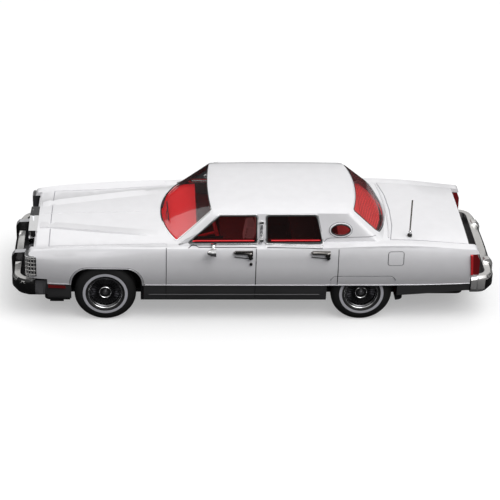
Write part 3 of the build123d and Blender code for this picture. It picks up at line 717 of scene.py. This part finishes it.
def slab(bm, corners, low, high):
    # A flat-sided block from an (x, z) outline, between two y planes
    near, far = ([bm.verts.new(Vector((x, y, z)) * mm) for x, z in corners] for y in (low, high))
    faces = [bm.faces.new(near), bm.faces.new(far)]
    for i in range(len(corners)):
        j = (i + 1) % len(corners)
        faces.append(bm.faces.new((near[i], near[j], far[j], far[i])))
    bmesh.ops.recalc_face_normals(bm, faces=faces)
    return faces


def ball(bm, centre, radii, segments=16):
    place = Matrix.Translation(Vector(centre) * mm) @ Matrix.Diagonal((*[r * mm for r in radii], 1))
    bmesh.ops.create_uvsphere(bm, u_segments=segments, v_segments=segments // 2, radius=1, matrix=place)


def mirroredSlab(name, corners, outer, inner, finish):
    # A slab on the left side and its like on the right, as one piece
    bm = bmesh.new()
    slab(bm, corners, outer, inner)
    mirrorAcross(bm)
    finishPiece(name, bm, [finish], "car")


def layOn(tree, places, stand):
    return [onTree(tree, x, z, stand) for x, z in places]


def layOnSide(places, stand):
    return [onSide(x, z, stand) for x, z in places]


def layOnGlass(tree, places, stand):
    # Only the places that are on the glass
    spots = [onGlass(tree, x, y, stand) for x, y in places]
    return [spot for spot in spots if spot]


# Wheels: a tyre with a narrow white band, and a dark dished wheel with bright rings

wheelSetup = {
    "outerY": 22.3, "width": 5.2, "tyreRadius": 9.0, "rimRadius": 5.05, "bandInner": 5.75, "bandOuter": 6.55,
    "axleHeight": 9.0, "steps": 96,
    "grooves": (1.9, 2.6, 3.3),  # in from the outer face
    "grooveDepth": 0.16,
    "dishDepth": 1.5, "barrel": 3.6, "hubRadius": 0.8,
    "blades": 30, "bladeSize": (0.14, 0.5, 2.3), "bladeAt": 3.05, "bladeLean": 0.18,
    "studs": 10, "studAt": 3.6, "studRadius": 0.16, "studTip": 0.1, "studLength": 0.5,
}


def spinProfile(bm, profile, steps, closed=False):
    # Turns a run of (distance across, radius) round the axle's line through the origin
    verts = [bm.verts.new(Vector((0, y, r)) * mm) for y, r in profile]
    edges = [bm.edges.new(pair) for pair in zip(verts, verts[1:])]
    if closed:
        edges.append(bm.edges.new((verts[-1], verts[0])))
    bmesh.ops.spin(
        bm, geom=verts + edges, cent=(0, 0, 0), axis=(0, 1, 0), dvec=(0, 0, 0), angle=2 * math.pi,
        steps=steps, use_merge=True, use_duplicate=False,
    )


def placeWheel(bm, axleX, side):
    # Moves a wheel piece, modelled round the origin for the car's right side, to its place
    bmesh.ops.remove_doubles(bm, verts=bm.verts, dist=0.001 * mm)
    bmesh.ops.recalc_face_normals(bm, faces=bm.faces)
    if side < 0:
        for vert in bm.verts:
            vert.co.y = -vert.co.y
        bmesh.ops.reverse_faces(bm, faces=bm.faces)
    bmesh.ops.translate(bm, verts=bm.verts, vec=Vector((axleX, 0, wheelSetup["axleHeight"])) * mm)


def fromAxle(face, axleX):
    # How far a face is from the axle's line, and how far out from the car's middle
    centre = face.calc_center_median() / mm
    return math.hypot(centre.x - axleX, centre.z - wheelSetup["axleHeight"]), abs(centre.y)


def makeTyre(end, name, axleX, side):
    s = wheelSetup
    outer, tread, bead = s["outerY"], s["tyreRadius"], s["rimRadius"]
    half = [
        (outer - 0.45, bead - 0.1), (outer - 0.2, bead + 0.15), (outer - 0.06, bead + 0.45),
        (outer - 0.01, s["bandInner"] - 0.06), (outer - 0.01, s["bandInner"]),
        (outer, (s["bandInner"] + s["bandOuter"]) / 2), (outer - 0.03, s["bandOuter"]),
        (outer - 0.04, s["bandOuter"] + 0.06), (outer - 0.16, 7.3), (outer - 0.45, 8.1),
        (outer - 0.85, 8.6), (outer - 1.15, tread - 0.12), (outer - 1.35, tread),
    ]
    grooves = []
    floor = tread - s["grooveDepth"]
    for inset in s["grooves"]:
        y = outer - inset
        grooves += [(y + 0.12, tread), (y + 0.08, floor), (y - 0.08, floor), (y - 0.12, tread)]
    middle = (outer - s["width"] + outer) / 2
    profile = half + grooves + [(2 * middle - y, radius) for y, radius in reversed(half)]
    bm = bmesh.new()
    spinProfile(bm, profile, s["steps"], closed=True)
    placeWheel(bm, axleX, side)
    for face in bm.faces:
        radius, out = fromAxle(face, axleX)
        face.material_index = 1 if out > outer - 0.3 and s["bandInner"] < radius < s["bandOuter"] else 0
    node = f"tyre_{end}_{name}"
    smooth(finishPiece(node + "Turned", bm, ["tyre", "whiteWall"], f"{end}_wheelset", [node]))


def addBlades(bm, disc):
    # Thin blades standing between the hub and the well of the dish
    s = wheelSetup
    size = Matrix.Diagonal((*[v * mm for v in s["bladeSize"]], 1))
    for i in range(s["blades"]):
        turn = Matrix.Rotation(2 * math.pi * i / s["blades"], 4, "Y")
        place = Matrix.Translation(Vector((0, disc + 0.3, s["bladeAt"])) * mm)
        lean = place @ Matrix.Rotation(s["bladeLean"], 4, "X")
        bmesh.ops.create_cube(bm, size=1, matrix=turn @ lean @ size)


def addStuds(bm, disc):
    # Round studs on the dish
    s = wheelSetup
    for i in range(s["studs"]):
        turn = Matrix.Rotation(2 * math.pi * (i + 0.5) / s["studs"], 4, "Y")
        place = Matrix.Translation(Vector((0, disc + 0.55, s["studAt"])) * mm)
        bmesh.ops.create_cone(
            bm, cap_ends=True, segments=10, radius1=s["studRadius"] * mm, radius2=s["studTip"] * mm,
            depth=s["studLength"] * mm, matrix=turn @ place @ Matrix.Rotation(math.pi / 2, 4, "X"),
        )


def makeRim(end, name, axleX, side):
    s = wheelSetup
    lip = s["outerY"] - 0.3
    disc = lip - s["dishDepth"]
    back = lip - s["barrel"]
    edge = s["rimRadius"]
    bm = bmesh.new()
    spinProfile(bm, [
        (back, edge), (lip - 0.15, edge), (lip, edge - 0.06), (lip + 0.02, edge - 0.14),
        (lip - 0.06, edge - 0.24), (lip - 0.35, edge - 0.34), (lip - 0.5, 4.45), (lip - 0.75, 4.3),
        (disc + 0.1, 4.2), (disc, 3.9), (disc, 2.15), (disc + 0.5, 1.9), (disc + 0.95, 1.82),
        (disc + 1.05, 1.7), (disc + 0.95, 1.58), (disc + 0.6, 1.45), (disc + 0.62, 0.8),
        (disc + 0.95, 0.62), (disc + 1.1, 0.4), (disc + 1.16, 0.0),
    ], s["steps"])
    spinProfile(bm, [(back, edge), (back, s["hubRadius"])], s["steps"])
    addBlades(bm, disc)
    addStuds(bm, disc)
    placeWheel(bm, axleX, side)
    for face in bm.faces:
        radius, out = fromAxle(face, axleX)
        ring = radius > edge - 0.3 or 1.55 < radius < 1.85 or radius < 0.4
        face.material_index = 1 if ring and out > disc + 0.7 else 0
    node = f"rim_{end}_{name}"
    finishNames = ["wheel_chrome", "wheelBright"]
    smooth(finishPiece(node + "Turned", bm, finishNames, f"{end}_wheelset", [node]))


for end in ("front", "rear"):
    low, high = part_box(f"axle_{end}")
    axleX = (low[0] + high[0]) / 2 / mm
    for name, side in (("left", -1), ("right", 1)):
        makeTyre(end, name, axleX, side)
        makeRim(end, name, axleX, side)
print("stage: wheels")

# Thin trim and panel gaps that follow the body

trim = {
    "mouldingTop": 12.2, "archTop": 17.7, "archFront": -53.9, "archRear": -32.4, "archCorner": 4.9,
    "frontLean": 0.3, "rearLean": 0.5,  # how far the opening's sides lean in to its corners
    # Each run of the bead on the mouldings: from and to, as (x, how far up), and its steps
    "beadRuns": [
        ((-60.3, 0.22), (-54.1, 0.22), 12), ((-32.0, 0.22), (20.8, 0.22), 30),
        ((20.8, 0.3), (63.2, 0.22), 30),
    ],
}

seams = {
    "doors": 0.0, "doorRear": 24.0, "doorFront": -26.0, "low": 12.5, "high": 24.0,
    "wideTop": 20.2, "wideRear": (13.6, 18.0), "narrowLow": 20.0,
    "hood": [(-26, -18.9), (-43.7, -18.0), (-60, -17.7), (-60, 17.7), (-43.7, 18.0), (-26, 18.9)],
    "lid": [(62.0, -18.2), (39.4, -18.6), (40.8, -10), (41.2, 0), (40.8, 10), (39.4, 18.6), (62.0, 18.2)],
    "fuel": [(38.52, 19.07), (43.08, 19.07), (43.08, 23.33), (38.52, 23.33)],
    "skirt": [(21.15, 12.6), (22.45, 15.53), (40.55, 15.53), (41.85, 12.6)],
}


def archLine(grow, stand):
    # The front wheel opening's edge with its large upper corners
    t = trim
    left, right, top = t["archFront"] - grow, t["archRear"] + grow, t["archTop"] + grow
    foot = t["mouldingTop"] + 0.1
    corner = t["archCorner"] + grow
    ahead = left + t["frontLean"] + corner
    behind = right - t["rearLean"] - corner
    turn = [(corner * math.cos(a), corner * math.sin(a)) for a in (math.pi / 2 * i / 12 for i in range(13))]
    points = [(ahead - x, top - corner + z) for x, z in turn]
    points += [(behind + x, top - corner + z) for x, z in reversed(turn)]
    return layOnSide([(left, foot), *points, (right, foot)], stand)


def makeSideTrim():
    # A bright edge round the front wheel openings, and along the top of the lower mouldings
    z = trim["mouldingTop"]
    beads("archBead", [archLine(0.18, 0.05)], 0.09, "paleTrimAndTopSheen")
    beads("archShadow", [archLine(0.42, -0.02)], 0.07, "shutLine")
    upper = []
    for (x0, up0), (x1, up1), steps in trim["beadRuns"]:
        upper.append(sideRun([(x0, z + up0), (x1, z + up1)], 0.04, steps))
    beads("mouldingBead", upper, 0.14, "paleTrimAndTopSheen")


def makeSeams():
    # Engraved lines at the doors, fuel door, skirt, hood and lid, drawn as dark lines: painted shade in the
    # grooves, blackest on the door gaps low down
    s = seams
    wide = [sideRun([(s["doors"], s["low"]), (s["doors"], s["wideTop"])], 0.12, 30)]
    wide.append(sideRun([(s["doorRear"], z) for z in s["wideRear"]], 0.1, 12))
    beads("doorSeam", wide, 0.15, "shutLine")
    lines = [sideRun([(x, s["low"]), (x, s["high"])], 0.05, 30) for x in (s["doorRear"], s["doorFront"])]
    lines.append(sideRun([(s["doors"], s["narrowLow"]), (s["doors"], s["high"])], 0.05, 12))
    lines.append(layOnSide(rounded(s["skirt"], 1.5)[7:-7], 0.04))  # open at the foot
    beads("panelSeams", lines, 0.11, "seamLine")
    fuel = layOnSide(rounded(s["fuel"], 0.7), 0.04)
    beads("fuelSeam", [fuel], 0.1, "seamLine", mirrored=False, closed=True)
    tops = []
    for corners in (s["hood"], s["lid"]):
        points = []
        for (x0, y0), (x1, y1) in zip(corners, corners[1:]):
            steps = max(2, math.ceil(math.hypot(x1 - x0, y1 - y0)))
            for i in range(steps):
                points.append(onTop(x0 + (x1 - x0) * i / steps, y0 + (y1 - y0) * i / steps, 0.04))
        tops.append(points)
    beads("lidSeams", tops, 0.09, "lidLine", mirrored=False)


makeSideTrim()
makeSeams()
print("stage: side trim")

# Details that sit on the modelled pieces

windows = {
    "front": [(-19.6, 25.0), (0.1, 25.0), (0.1, 32.3), (-10.4, 32.3)],
    "rear": [(3.2, 25.0), (19.3, 25.0), (17.5, 32.3), (3.2, 32.3)],
    "corner": 0.8, "bandDrop": 0.62,
    "brightOut": (0.42, 0.36),  # from the pane's corner to the bright line's, along and up
    "capRise": 0.42, "capFront": 1.2, "capRear": 0.6,
    "footOn": [(-21.8, 24.5), (-19.4, 24.6)],
    "foot": [(-22.4, 24.2), (-18.9, 24.2), (-18.9, 24.85), (-20.1, 24.9)],
}


def makeWindowTrim():
    # A rubber line round each pane, a bright line outside it, a band along its foot and the door's red cap
    w = windows
    rubber, bright, band, caps = [], [], [], []
    along, up = w["brightOut"]
    for corners in (w["front"], w["rear"]):
        middleX, middleZ = (sum(values) / 4 for values in zip(*corners))
        wide = [
            (x + (along if x > middleX else -along), z + (up if z > middleZ else -up)) for x, z in corners
        ]
        rubber.append(layOn(sideTree, rounded(corners, w["corner"]), 0.06))
        bright.append(layOn(sideTree, rounded(wide, w["corner"]), 0.05))
        (x0, low), (x1, _) = corners[0], corners[1]
        capLength = x1 - x0 - w["capFront"] - w["capRear"]
        bandPlaces = [(x0 + (x1 - x0) * i / 20, low - w["bandDrop"]) for i in range(21)]
        capPlaces = [(x0 + w["capFront"] + capLength * i / 20, low + w["capRise"]) for i in range(21)]
        band.append(layOn(sideTree, bandPlaces, 0.06))
        caps.append(layOn(sideTree, capPlaces, -0.02))
    beads("paneRubber", rubber, 0.13, "blackRubber", closed=True)
    beads("paneBright", bright, 0.1, "chrome", closed=True)
    beads("paneBand", band, 0.1, "blackRubber")
    # The door caps take the dash's red with its glow: painted light
    beads("doorCaps", caps, 0.2, "dashRed")
    surface = [spot.y / mm for spot in layOn(sideTree, w["footOn"], 0.0)]
    mirroredSlab("windowFoot", w["foot"], min(surface) - 0.12, max(surface) + 0.5, "chrome")


opera = {"x": 24.65, "z": 28.35, "halfX": 2.7, "halfZ": 1.4, "steps": 40}


def ovalRun(grow, stand):
    # A run round the oval window in the rear pillar
    o = opera
    halfX, halfZ = o["halfX"] + grow, o["halfZ"] + grow
    turn = [2 * math.pi * i / o["steps"] for i in range(o["steps"])]
    places = [(o["x"] + halfX * math.cos(a), o["z"] + halfZ * math.sin(a)) for a in turn]
    return layOn(sideTree, places, stand)


def makeOpera():
    beads("operaBezel", [ovalRun(0.42, 0.05)], 0.24, "body_paint", closed=True)
    beads("operaRing", [ovalRun(0.08, 0.1)], 0.16, "blackRubber", closed=True)
    beads("operaEdge", [ovalRun(0.72, -0.02)], 0.08, "seamLine", closed=True)


pillarSeam = [(19.9, 25.0), (20.6, 25.9), (21.6, 26.15), (35.0, 26.5)]


def makePillarSeam():
    # The line from the rear door's corner back across the pillar to the backlight
    beads("pillarSeam", [layOn(sideTree, spread(pillarSeam, 1.0), 0.02)], 0.08, "seamLine")


coachLamp = {"x": 1.55, "front": 1.15, "rear": 1.95, "low": 26.1, "top": 29.8, "ribs": 9}


def makeCoachLamp():
    # A dark ribbed lens between the bright caps on the centre pillar
    s = coachLamp
    x0, x1 = s["front"], s["rear"]
    bm = bmesh.new()
    top = onTree(sideTree, s["x"], s["top"])
    low = onTree(sideTree, s["x"], s["low"])
    for i in range(s["ribs"]):
        a = low.lerp(top, (i + 0.15) / s["ribs"]) / mm
        b = low.lerp(top, (i + 0.85) / s["ribs"]) / mm
        middle = (a + b) / 2
        faces = slab(bm, [(x0, a.z), (x1, a.z), (x1, b.z), (x0, b.z)], middle.y - 0.66, middle.y - 0.1)
        for face in faces:
            face.material_index = i % 2
    mirrorAcross(bm)
    finishPiece("coachRibs", bm, ["seamLine", "steel"], "car")


front = {
    "guardY": 9.7, "guardHalf": 0.99,
    "guard": [(-71.35, 9.3), (-71.35, 15.3), (-70.5, 16.3), (-67.3, 16.5), (-67.3, 9.3)],
    "lampLow": 14.7, "lampHigh": 20.8, "lampBack": (-63.7, -17.5), "lampEdge": (-63.65, -22.0),
    "lampPlan": [(-63.7, -21.95), (-65.6, -21.75), (-66.5, -21.2), (-66.75, -20.2), (-66.75, -17.5)],
    "bars": 5, "firstBar": 0.5, "barGap": 1.25,
}


def makeFrontGuards():
    # Black sides and a pale top on bright guards: painted reflection and painted highlight
    f = front
    bm = bmesh.new()
    for y in (-f["guardY"], f["guardY"]):
        for face in slab(bm, f["guard"], y - f["guardHalf"], y + f["guardHalf"]):
            face.material_index = 1 if face.normal.z > 0.6 else 0
    finishPiece("frontGuards", bm, ["blackGlossAndDarkReflection", "paleTrimAndTopSheen"], "car")


def lampRun(places, z):
    return [Vector((x, y, z)) * mm for x, y in places]


def makeLampBodies():
    # The dark lens that wraps round the fender's end
    f = front
    bm = bmesh.new()
    plan = [*f["lampPlan"], f["lampBack"]]
    low, high = ([bm.verts.new(point) for point in lampRun(plan, z)] for z in (f["lampLow"], f["lampHigh"]))
    bm.faces.new(low)
    bm.faces.new(high)
    for i in range(len(low)):
        j = (i + 1) % len(low)
        bm.faces.new((low[i], low[j], high[j], high[i]))
    bmesh.ops.recalc_face_normals(bm, faces=bm.faces)
    mirrorAcross(bm)
    finishPiece("lampBodies", bm, ["lampDark"], "car")


def makeLampGrid():
    # Bright bars over the dark lamps, on the front and round the side
    f = front
    plan, low, high = f["lampPlan"], f["lampLow"], f["lampHigh"]
    bars = [lampRun(plan, low + f["firstBar"] + i * f["barGap"]) for i in range(f["bars"])]
    for (x0, y0), (x1, y1) in zip(plan, plan[1:]):
        for t in (0.25, 0.75):
            x, y = x0 + (x1 - x0) * t, y0 + (y1 - y0) * t
            bars.append([Vector((x, y, low + 0.1)) * mm, Vector((x, y, high - 0.1)) * mm])
    beads("lampBars", bars, 0.17, "brightBarsAndTopSheen")
    beads("lampRims", [lampRun(plan, z) for z in (low, high)], 0.14, "chrome")
    edge = [Vector((*f["lampEdge"], z)) * mm for z in (low, high)]
    beads("lampEdge", [edge], 0.14, "blackRubber")


marker = {
    "on": [(-60.2, 11.7), (-55.2, 11.7)],
    "outline": [(-60.2, 11.2), (-55.2, 11.0), (-55.2, 11.9), (-60.2, 12.0)],
}


def makeMarker():
    # The red side marker ahead of the front wheel
    surface = [spot.y / mm for spot in layOn(mouldTree, marker["on"], 0.1)]
    low, high = min(surface) - 0.02, max(surface) + 0.3
    mirroredSlab("sideMarkers", marker["outline"], low, high, "markerRed")


wipers = {
    "blades": [[(-25.2, 14.0), (-26.9, 1.6)], [(-25.6, 4.1), (-25.1, -7.8)]],
    "standOff": 0.2, "bladeRadius": 0.16, "armRadius": 0.09, "armShift": -0.45,
}


def makeWipers():
    # Blades lying on the foot of the windscreen, each with its arm close beside it
    w = wipers
    shift = Vector((w["armShift"], 0, 0)) * mm
    bm = bmesh.new()
    for blade in w["blades"]:
        points = layOnGlass(screenTree, spread(blade, 0.8), w["standOff"])
        tubeMesh(bm, points, w["bladeRadius"])
        start, *others = points[len(points) // 2:]
        tubeMesh(bm, [start, *[point + shift for point in others]], w["armRadius"])
    piece = finishPiece("wiperBlades", bm, ["blackRubber"], "car", ["wipers"])
    piece.data.shade_smooth()


ledges = {
    "half": 17.5, "steps": 24, "bend": 4.4, "bendPower": 2.2, "thick": 0.3,
    # Where each edge lies at the car's middle, as (x, z)
    "dashTop": [(-27.6, 24.35), (-23.0, 25.0), (-17.1, 25.3), (-17.0, 24.6)],
    "rearShelf": [(37.9, 25.5), (34.0, 25.3), (28.0, 25.1), (24.5, 24.8)],
}


def makeLedge(name, finish):
    # The padded dash top or the rear shelf, filling the cabin to the foot of the glass
    s = ledges
    rows = s[name]
    firstX, lastX = rows[0][0], rows[-1][0]
    bm = bmesh.new()
    grid = []
    for x, z in rows:
        reach = abs(x - lastX) / abs(firstX - lastX)
        line = []
        for i in range(s["steps"] + 1):
            y = -s["half"] + 2 * s["half"] * i / s["steps"]
            bend = (abs(y) / s["half"]) ** s["bendPower"] * s["bend"] * (1 if x < 0 else -1)
            line.append(bm.verts.new(Vector((x + bend * reach, y, z)) * mm))
        grid.append(line)
    for a, b in zip(grid, grid[1:]):
        for i in range(s["steps"]):
            bm.faces.new((a[i], a[i + 1], b[i + 1], b[i]))
    bmesh.ops.solidify(bm, geom=bm.faces[:], thickness=s["thick"] * mm)
    bmesh.ops.recalc_face_normals(bm, faces=bm.faces)
    smooth(finishPiece(name, bm, [finish], "car"))


antennaFoot = {
    "ball": (0.75, 0.75, 0.7), "ballUp": 0.45,
    "collar": (0.55, 0.55, 0.55), "collarUp": 1.45, "collarBack": 0.05,
}


def makeAntennaFoot():
    # A dark ball at the foot with a bright collar above it
    s = antennaFoot
    verts = [v.co for v in nodes["antenna"].data.vertices]
    base = min(v.z for v in verts)
    foot = [v for v in verts if v.z < base + 0.4 * mm]
    x, y = (sum(v[i] for v in foot) / len(foot) / mm for i in (0, 1))
    bm = bmesh.new()
    ball(bm, (x, y, base / mm + s["ballUp"]), s["ball"])
    dark = len(bm.faces)
    ball(bm, (x + s["collarBack"], y, base / mm + s["collarUp"]), s["collar"])
    bm.faces.ensure_lookup_table()
    for face in bm.faces[dark:]:
        face.material_index = 1
    smooth(finishPiece("antennaFoot", bm, ["blackGlossAndDarkReflection", "chrome"], "car"))


tailStrip = [(63.3, 15.5), (64.0, 15.5), (63.5, 21.9), (62.8, 21.9)]


def makeTailTrim():
    # The brighter red edge of the tail lamp, seen from the side
    mirroredSlab("tailStrips", tailStrip, -22.45, -20.5, "stripRed")


creases = {
    "edge": [(-63.0, -8.1), (-60.0, -8.6), (-43.7, -12.2), (-28.4, -15.4)],
    "ridge": [(-63.2, 0), (-28.6, 0)],
    "height": 0.42, "drop": 0.32, "inner": 3.4,
}


def makeHoodCreases():
    # The hood's raised middle: a low step along each side, and a fine ridge down its centre
    s = creases
    bm = bmesh.new()
    rows = []
    points = spread(s["edge"], 1.5)
    for i, (x, y) in enumerate(points):
        fade = min(1, (len(points) - 1 - i) / 6, 0.5 + i / 4)
        inner = onTop(x, y + s["inner"], 0.01)
        crest = onTop(x, y) + Vector((0, 0, s["height"] * fade + 0.01)) * mm
        slope = (inner + crest * 2) / 3 + Vector((0, 0, 0.03)) * mm
        outer = onTop(x, y - s["drop"], -0.02)
        rows.append([bm.verts.new(point) for point in (inner, slope, crest, outer)])
    for a, b in zip(rows, rows[1:]):
        for i in range(3):
            bm.faces.new((a[i], b[i], b[i + 1], a[i + 1]))
    bmesh.ops.recalc_face_normals(bm, faces=bm.faces)
    if sum(face.normal.z for face in bm.faces) < 0:
        bmesh.ops.reverse_faces(bm, faces=bm.faces)
    mirrorAcross(bm)
    smooth(finishPiece("hoodCreases", bm, ["body_paint"], "car"), 30)
    ridge = [onTop(x, y) for x, y in spread(s["ridge"], 1.5)]
    beads("hoodRidge", [ridge], 0.12, "body_paint", mirrored=False)


backlight = {
    "firstLine": 30.6, "lineGap": 0.6, "lines": 12, "half": 16,
    "beadX": 39.0, "beadBow": 1.1, "beadHalf": 17.6,
}


def makeBacklightTrim():
    # Heater lines across the glass, and a raised bead round its foot
    s = backlight
    lines = []
    for i in range(s["lines"]):
        x = s["firstLine"] + i * s["lineGap"]
        spots = layOnGlass(backTree, [(x, y) for y in range(-s["half"], s["half"] + 1)], 0.03)
        if len(spots) > 4:
            lines.append(spots)
    beads("heaterLines", lines, 0.05, "heaterLine", mirrored=False)
    bead = []
    for i in range(-22, 23):
        y = s["beadHalf"] * i / 22
        bead.append(onTop(s["beadX"] + s["beadBow"] * (1 - (abs(y) / s["beadHalf"]) ** 2), y, -0.05))
    beads("cowlBead", [bead], 0.3, "body_paint", mirrored=False)


handles = {"front": (-6.3, -1.1), "rear": (16.1, 21.4), "z": 21.95, "fall": 0.08, "knob": (0.62, 0.42, 0.6)}


def makeHandles():
    # A painted shadow line under each pull, and the round push button at its rear end
    s = handles
    shadows = []
    bm = bmesh.new()
    for x0, x1 in (s["front"], s["rear"]):
        places = [(x0 + (x1 - x0) * i / 8, s["z"] - s["fall"] * i) for i in range(9)]
        shadows.append(layOnSide(places, 0.12))
        ball(bm, onSide(x1 - 0.45, s["z"] - 0.25, 0.5) / mm, s["knob"])
    beads("handleShadows", shadows, 0.13, "blackRubber")
    mirrorAcross(bm)
    smooth(finishPiece("handleKnobs", bm, ["blackGlossAndDarkReflection"], "car"))


mouldLines = {"z": 9.0, "from": -31, "to": 21, "gapsAt": (-26.0, 0.0), "gapHeights": (12.0, 10.0, 8.0)}


def makeMouldLines():
    # A pale line low on the mouldings, and the door gaps carried down through them
    s = mouldLines
    line = layOn(mouldTree, [(x, s["z"]) for x in range(s["from"], s["to"], 2)], 0.02)
    gaps = [layOn(mouldTree, [(x, z) for z in s["gapHeights"]], 0.02) for x in s["gapsAt"]]
    beads("mouldLine", [line], 0.2, "mouldLine")
    beads("mouldGaps", gaps, 0.1, "shutLine")


screenEdge = {"half": 16, "cowlX": -30.0, "deckX": 41.0, "step": 0.1, "mostSteps": 140}


def glassFoot(tree, fromX, step):
    # The lower edge of a screen, found by stepping towards it at each point across the car
    points = []
    for y in range(-screenEdge["half"], screenEdge["half"] + 1):
        for k in range(screenEdge["mostSteps"]):
            spot = onGlass(tree, fromX + step * k, y, 0.02)
            if spot:
                points.append(spot)
                break
    return points


def makeScreenRubber():
    s = screenEdge
    cowl = glassFoot(screenTree, s["cowlX"], s["step"])
    deck = glassFoot(backTree, s["deckX"], -s["step"])
    beads("screenRubber", [cowl], 0.15, "blackRubber", mirrored=False)
    beads("backRubber", [deck], 0.12, "seamLine", mirrored=False)


footwell = [(-23.0, 23.0), (-22.0, 25.5), (-9.5, 25.6), (-9.5, 21.0)]


def makeFootwells():
    # Dark slabs on the door tops ahead of the front seats: painted shade
    mirroredSlab("footwellShadeSlabs", footwell, -17.55, -17.35, "innerShadeDark")


pads = {
    "outline": [(-3.2, 20.5), (-2.4, 25.4), (-1.9, 25.8), (-0.3, 25.9), (0.4, 24.0), (-0.8, 20.5)],
    "outer": -12.2, "inner": -6.2,
    "ribs": 5, "ribFoot": (-2.9, 21.2), "ribLean": 0.17, "ribRadius": 0.2, "ribEnds": (-12.3, -6.1),
}


def makeSeatPads():
    # The thick ribbed cushions on the front backrest, pink as a painted highlight
    s = pads
    mirroredSlab("seatPads", s["outline"], s["outer"], s["inner"], "padHighlightPink")
    x, z = s["ribFoot"]
    ribs = [[Vector((x + s["ribLean"] * i, y, z + i)) * mm for y in s["ribEnds"]] for i in range(s["ribs"])]
    beads("padRibs", ribs, s["ribRadius"], "seat_red")


makeWindowTrim()
makeOpera()
makePillarSeam()
makeCoachLamp()
makeFrontGuards()
makeLampBodies()
makeLampGrid()
makeMarker()
makeWipers()
makeLedge("dashTop", "dashRed")
makeLedge("rearShelf", "shelfRed")
makeAntennaFoot()
makeTailTrim()
makeHoodCreases()
makeBacklightTrim()
makeHandles()
makeMouldLines()
makeScreenRubber()
makeFootwells()
makeSeatPads()
print("stage: details")
